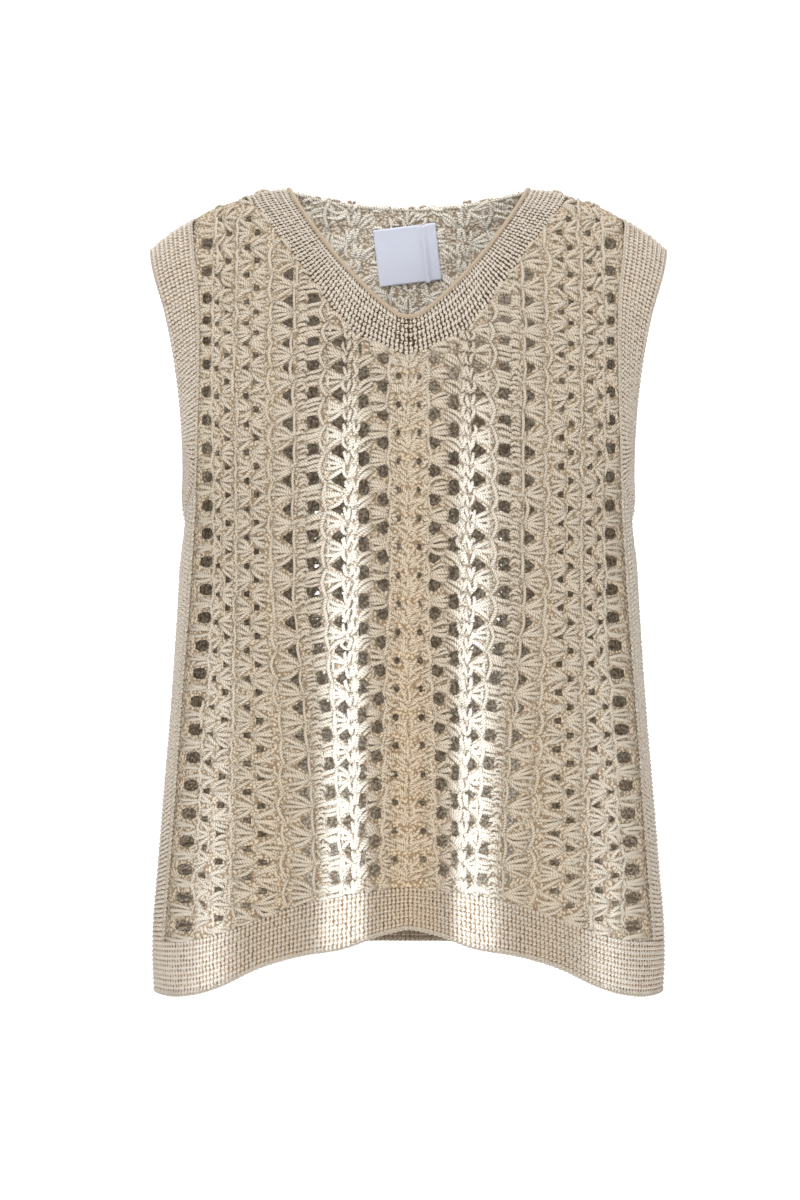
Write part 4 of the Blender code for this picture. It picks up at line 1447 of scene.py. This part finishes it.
@dataclass
class Bands:
    """Neck band, armhole bands, side strips and hem bands."""

    pattern: Pattern
    finishes: Finishes
    work: CloseWork = field(default_factory=CloseWork)
    neck_work: CloseWork = field(
        default_factory=lambda: CloseWork(radius=1.95, slant=0.2, dotted_rows=(2, 3, 5, 6, 7))
    )
    grid_rows: int = 9
    grid_columns: int = 121
    neck_end: tuple[float, float] = (0.95, 0.05)
    crown: float = 4.0
    armhole_columns: int = 44
    underarm_columns: int = 9
    armhole_ease: float = 0.7
    shoulder_pull: float = 25.0
    armhole_bottom: float = -240.0
    armhole_half_depth: float = 48.0
    seam_angle: float = math.radians(150)

    def neck_patch(self) -> Patch:
        """V band: straight lines from the panel's neck edge to the neck opening, from shoulder to shoulder.

        Its ends are drawn up to the shoulder line by the square of the share of the last part of the way.
        """
        body, pattern = self.pattern.body, self.pattern
        station = np.linspace(-1, 1, self.grid_columns)[None, :]
        step = np.linspace(0, 1, self.grid_rows)[:, None]
        share = np.abs(station)
        outer = share * pattern.neck_band_end
        inner = share * pattern.neck_side
        across = outer + (inner - outer) * step
        outer_height = pattern.neck_outer.at(outer) + NECK_SEAM
        height = outer_height + (pattern.neck_inner.at(inner) - outer_height) * step
        shoulder = body.shoulder_height(across)
        near_end = np.clip((share - self.neck_end[0]) / self.neck_end[1], 0, 1) ** 2
        height = np.minimum(height + (shoulder - height) * near_end, shoulder)
        turn = body.turn_at(np.sign(station) * across, height, Side.FRONT)
        points, ways = body.place(turn, height)
        return Patch(points - ways * MID_WALL, ways)

    def armhole_patch(self, side: int) -> Patch:
        """Ring from the seam to the free oval edge, a curve with a crown half way, all round the armhole.

        The front half is made from the shoulder down to the side line, and the back half is its mirror image. A
        cross-section is (1 - s) squared x seam + 2s(1 - s) x crown + s squared x edge.
        """
        body, pattern = self.pattern.body, self.pattern
        height = np.linspace(pattern.seam_top, pattern.corner, self.armhole_columns)[:-1]
        step = ((pattern.seam_top - height) / (pattern.seam_top - pattern.corner)) ** self.armhole_ease
        turn = body.along(body.turn_at(pattern.side_seam.at(height), height, Side.FRONT), height, HALF_GAP)
        turn = turn + (SIDE_TURN - turn) * np.exp(-step * self.shoulder_pull)
        under = np.linspace(0, 1, self.underarm_columns)
        under_turn, under_height = self.underarm(under)
        turn = np.concatenate([turn, under_turn])
        height = np.concatenate([height, under_height + HALF_GAP])
        angle = np.concatenate([self.seam_angle * step, self.seam_angle + (math.pi - self.seam_angle) * under])
        turn = np.concatenate([turn, math.pi - turn[-2::-1]])
        height = np.concatenate([height, height[-2::-1]])
        angle = np.concatenate([angle, 2 * math.pi - angle[-2::-1]])
        seam, way = body.place(turn, height)
        middle = (body.armhole_top + self.armhole_bottom) / 2
        edge_height = middle + (body.armhole_top - middle) * np.cos(angle)
        edge_y = -self.armhole_half_depth * np.sin(angle)
        edge = np.stack([pattern.armhole_across.at(edge_height), edge_y, edge_height], axis=-1)
        crown = (seam + edge) / 2 + way * self.crown
        s = np.linspace(0, 1, self.grid_rows)[:, None, None]
        grid = (1 - s) ** 2 * seam + 2 * s * (1 - s) * crown + s * s * edge
        grid[:, -1] = grid[:, 0]
        round_ring = np.roll(grid[:, :-1], -1, axis=1) - np.roll(grid[:, :-1], 1, axis=1)
        round_ring = np.concatenate([round_ring, round_ring[:, :1]], axis=1)
        ways = np.cross(round_ring, np.gradient(grid, axis=0))
        ways /= np.linalg.norm(ways, axis=-1, keepdims=True)
        ways *= np.sign(np.einsum("ijk,jk->ij", ways, way))[..., None]
        return Patch(grid - ways * MID_WALL, ways, closed=True).mirrored(side)

    def underarm(self, step: Array) -> tuple[Array, Array]:
        """Turn and height on the seam below the armhole, from the panel's seam (0) to the side line (1)."""
        body, pattern = self.pattern.body, self.pattern
        height = pattern.corner - pattern.underarm_sag * np.sin(step * SIDE_TURN)
        start = body.turn_at(pattern.side_seam.at(height), height, Side.FRONT)
        start = body.along(start, height, HALF_GAP)
        return start + (SIDE_TURN - start) * step, height

    def strip_patch(self, side: int) -> Patch:
        """Strip below an armhole: from seam to seam round the side, and down to the hem band."""
        body, pattern = self.pattern.body, self.pattern
        round_side = np.linspace(0, 2, self.grid_rows + 4)[:, None]
        step = np.minimum(round_side, 2 - round_side)
        down = np.linspace(0, 1, self.grid_columns)[None, :]
        top = self.underarm(step)[1] - HALF_GAP
        height = pattern.corner + (STRIP_START - pattern.corner) * down + 0 * step
        for _ in range(STRIP_ROUNDS):
            seam = body.turn_at(pattern.side_seam.at(height), height, Side.FRONT)
            seam = body.along(seam, height, HALF_GAP)
            turn = seam + (SIDE_TURN - seam) * step
            turn = np.where(round_side > 1, math.pi - turn, turn)
            bottom = pattern.hem(turn, 0) + HALF_GAP
            height = top + (bottom - top) * down
        points, ways = body.place(turn, height)
        return Patch(points - ways * MID_WALL, ways).mirrored(side)

    def hem_patch(self, side: Side) -> Patch:
        """Half of the hem band: from side line to side line, between its upper and lower edges."""
        body, pattern = self.pattern.body, self.pattern
        limit = SIDE_TURN - HALF_GAP / HEM_SIDE_DEPTH
        turn = np.linspace(-limit, limit, self.grid_columns)[None, :]
        if side is Side.BACK:
            turn = math.pi - turn
        step = np.linspace(0, 1, self.grid_rows)[:, None]
        top = pattern.hem(turn, 0) - HALF_GAP
        height = top + (pattern.hem(turn, 1) - top) * step
        points, ways = body.place(turn + 0 * step, height)
        return Patch(points - ways * MID_WALL, ways)

    def finish_piece(self, name: str, patch: Patch, trims: tuple[EdgeChain | RolledEdge, ...], seed: int) -> None:
        """Make one band from its patch: ground cloth, stitches and edge trim.

        Args:
            name: the node's name.
            patch: its mid-wall surface.
            trims: what its edges get.
            seed: seed of the small random shifts.
        """
        keep = np.ones((patch.points.shape[0] - 1, patch.points.shape[1] - 1), bool)
        at_neck = name == "neck_band"
        # Painted shade: the band's ground is dark, nearly black at the neck, and shows as shade between the stitches
        backing = self.finishes.neck_ground if at_neck else self.finishes.band_ground
        ground = cloth_shell(name, patch.points, keep, backing, self.pattern.body.band_painted_light(patch.points))
        even = patch.evened()
        stitches, edge = Strands(sides=self.work.sides, end_share=0.56), Strands(sides=4)
        work = self.neck_work if at_neck else self.work
        work.lay(stitches, even, self.pattern.body, seed)
        for trim in trims:
            trim.lay(edge, even)
        yarn = [
            stitches.make(f"{name}_stitches", self.finishes.band),
            edge.make(f"{name}_edge", self.finishes.roll if at_neck else self.finishes.band),
        ]
        for piece in [ground, *yarn]:
            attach(piece, "root")
        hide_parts(name)
        size, area = flat_cut(patch.points)
        total = stitches.triangles + edge.triangles
        LOG.info("%s: cut %.0f x %.0f mm, %d triangles", name, size[0] / MM, size[1] / MM, total)

    def build(self) -> None:
        """Make every band."""
        self.finish_piece("neck_band", self.neck_patch(), (RolledEdge(),), 11)
        for number, (word, side) in enumerate((("left", 1), ("right", -1))):
            armhole, strip = self.armhole_patch(side), self.strip_patch(side)
            self.finish_piece(f"armhole_band_{word}", armhole, (FREE_EDGE, PANEL_SEAM), 21 + number)
            self.finish_piece(f"side_strip_{word}", strip, STRIP_SEAMS, 31 + number)
        self.finish_piece("hem_band_front", self.hem_patch(Side.FRONT), (FREE_EDGE,), 41)
        self.finish_piece("hem_band_back", self.hem_patch(Side.BACK), (FREE_EDGE,), 42)


# --- Label ----------------------------------------------------------------------------------------------------


@dataclass
class Label:
    """Blank satin label inside the back neck, tilted a little and creased near one side."""

    pattern: Pattern
    finishes: Finishes
    width: float = 54.5
    height: float = 48.0
    centre: tuple[float, float] = (-0.9, -38.5)
    tilt: float = math.radians(6.8)
    inset: float = 5.0
    crease_place: float = 0.29
    crease_width: float = 0.04
    crease_depth: float = -7.0
    wave_rise: float = 0.25
    wave_turns: float = 9.0
    columns: int = 40
    rows: int = 30

    def build(self) -> None:
        """Make the label: a grid turned by its tilt, laid inside the back and pressed in along one crease."""
        body = self.pattern.body
        across, down = np.linspace(-0.5, 0.5, self.columns), np.linspace(0.5, -0.5, self.rows)
        right, up = np.meshgrid(across, down, indexing="ij")
        x = self.centre[0] + right * self.width * math.cos(self.tilt) - up * self.height * math.sin(self.tilt)
        z = self.centre[1] + right * self.width * math.sin(self.tilt) + up * self.height * math.cos(self.tilt)
        points, ways = body.place(body.turn_at(x, z, Side.BACK), z)
        crease = np.exp(-(((right - self.crease_place) / self.crease_width) ** 2))
        wave = self.wave_rise * np.sin(right * self.wave_turns + 1.0) * (0.5 - up)
        lift = -self.inset + self.crease_depth * crease * (0.5 - 0.4 * up) - wave
        keep = np.ones((self.columns - 1, self.rows - 1), bool)
        laid = points + ways * lift[..., None]
        piece = cloth_shell("label", laid, keep, self.finishes.satin)
        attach(piece, "root")
        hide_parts("label")
        size, area = flat_cut(laid)
        LOG.info("label: cut %.1f x %.1f mm", size[0] / MM, size[1] / MM)


# --- Studio ---------------------------------------------------------------------------------------------------


@dataclass(frozen=True)
class Lamp:
    """A square area light: its place and its side in metres, and its power in watts."""

    name: str
    place: tuple[float, float, float]
    size: float
    power: float


LAMPS = (
    Lamp("key", (-0.7, -3.1, 1.0), 1.2, 70.0),
    Lamp("fill", (0.9, -3.2, -0.7), 1.6, 46.0),
    Lamp("top", (0.0, 0.2, 2.0), 1.6, 30.0),
    Lamp("backdrop", (0.0, 1.6, 2.0), 2.4, 62.0),
)


@dataclass
class Studio:
    """Pale sweep, soft lights and the photograph's camera. Its lengths are in metres."""

    floor_height: float = -0.92
    half_width: float = 6.0
    curve_start: float = 2.4
    curve_radius: float = 0.9
    rise: float = 4.5
    paper: float = 0.93
    aim: tuple[float, float, float] = (0.0, 0.0, -0.33)
    world_strength: float = 0.75
    camera_place: tuple[float, float, float] = (-0.0072, -3.2, -0.340)
    lens: float = 112.9
    sensor: float = 36.0

    def sweep(self) -> None:
        """Floor that curves up into a backdrop: a straight run, a quarter circle and a straight rise."""
        radius, back = self.curve_radius, self.curve_start
        turn = np.linspace(0, math.pi / 2, 24)
        y = np.concatenate([[-self.half_width], back + radius * np.sin(turn), [back + radius]])
        z = self.floor_height + np.concatenate([[0.0], radius * (1 - np.cos(turn)), [self.rise]])
        x = np.array([-self.half_width, self.half_width])
        grid = np.stack(np.broadcast_arrays(x[:, None], y[None], z[None]), axis=-1)
        draft = MeshDraft()
        index = draft.add_points(grid / MM) + np.arange(grid.size // 3).reshape(grid.shape[:2])
        quads = np.stack([index[:-1, :-1], index[1:, :-1], index[1:, 1:], index[:-1, 1:]], axis=-1).reshape(-1, 4)
        draft.add_faces(quads, np.zeros((len(quads), 4, 2)))
        settings = {"Base Color": (self.paper, self.paper, self.paper, 1.0), "Roughness": 0.9}
        material = new_material("studio_paper", settings)
        draft.make("studio_sweep", material)

    def light(self, lamp: Lamp) -> None:
        """Hang one light that points at the middle of the top."""
        data = bpy.data.lights.new(lamp.name, "AREA")
        data.size = lamp.size
        data.energy = lamp.power
        held = bpy.data.objects.new(lamp.name, data)
        held.location = lamp.place
        way = np.array(self.aim) - np.array(lamp.place)
        tilt = math.atan2(math.hypot(way[0], way[1]), -way[2])
        held.rotation_euler = (tilt, 0.0, math.atan2(-way[0], way[1]))
        bpy.context.scene.collection.objects.link(held)

    def build(self) -> None:
        """Make the sweep, lights, world and camera."""
        self.sweep()
        for lamp in LAMPS:
            self.light(lamp)
        world = bpy.data.worlds.new("studio")
        world.use_nodes = True
        world.node_tree.nodes["Background"].inputs["Color"].default_value = (1.0, 1.0, 1.0, 1.0)
        world.node_tree.nodes["Background"].inputs["Strength"].default_value = self.world_strength
        bpy.context.scene.world = world
        bpy.context.scene.view_settings.view_transform = "Standard"
        camera = bpy.data.cameras.new("photo_camera")
        camera.lens = self.lens
        camera.sensor_width = self.sensor
        held = bpy.data.objects.new("photo_camera", camera)
        held.location = self.camera_place
        held.rotation_euler = (math.pi / 2, 0.0, 0.0)
        bpy.context.scene.collection.objects.link(held)
        bpy.context.scene.camera = held


def main() -> None:
    """Build the whole top and its studio."""
    logging.basicConfig(level=logging.INFO, format="%(message)s")
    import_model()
    pattern, finishes = Pattern(), Finishes.build()
    OpenworkPanel(Side.FRONT, pattern, finishes, seed=3).build()
    OpenworkPanel(Side.BACK, pattern, finishes, seed=5).build()
    Bands(pattern, finishes).build()
    Label(pattern, finishes).build()
    Studio().build()


if __name__ == "__main__":
    main()
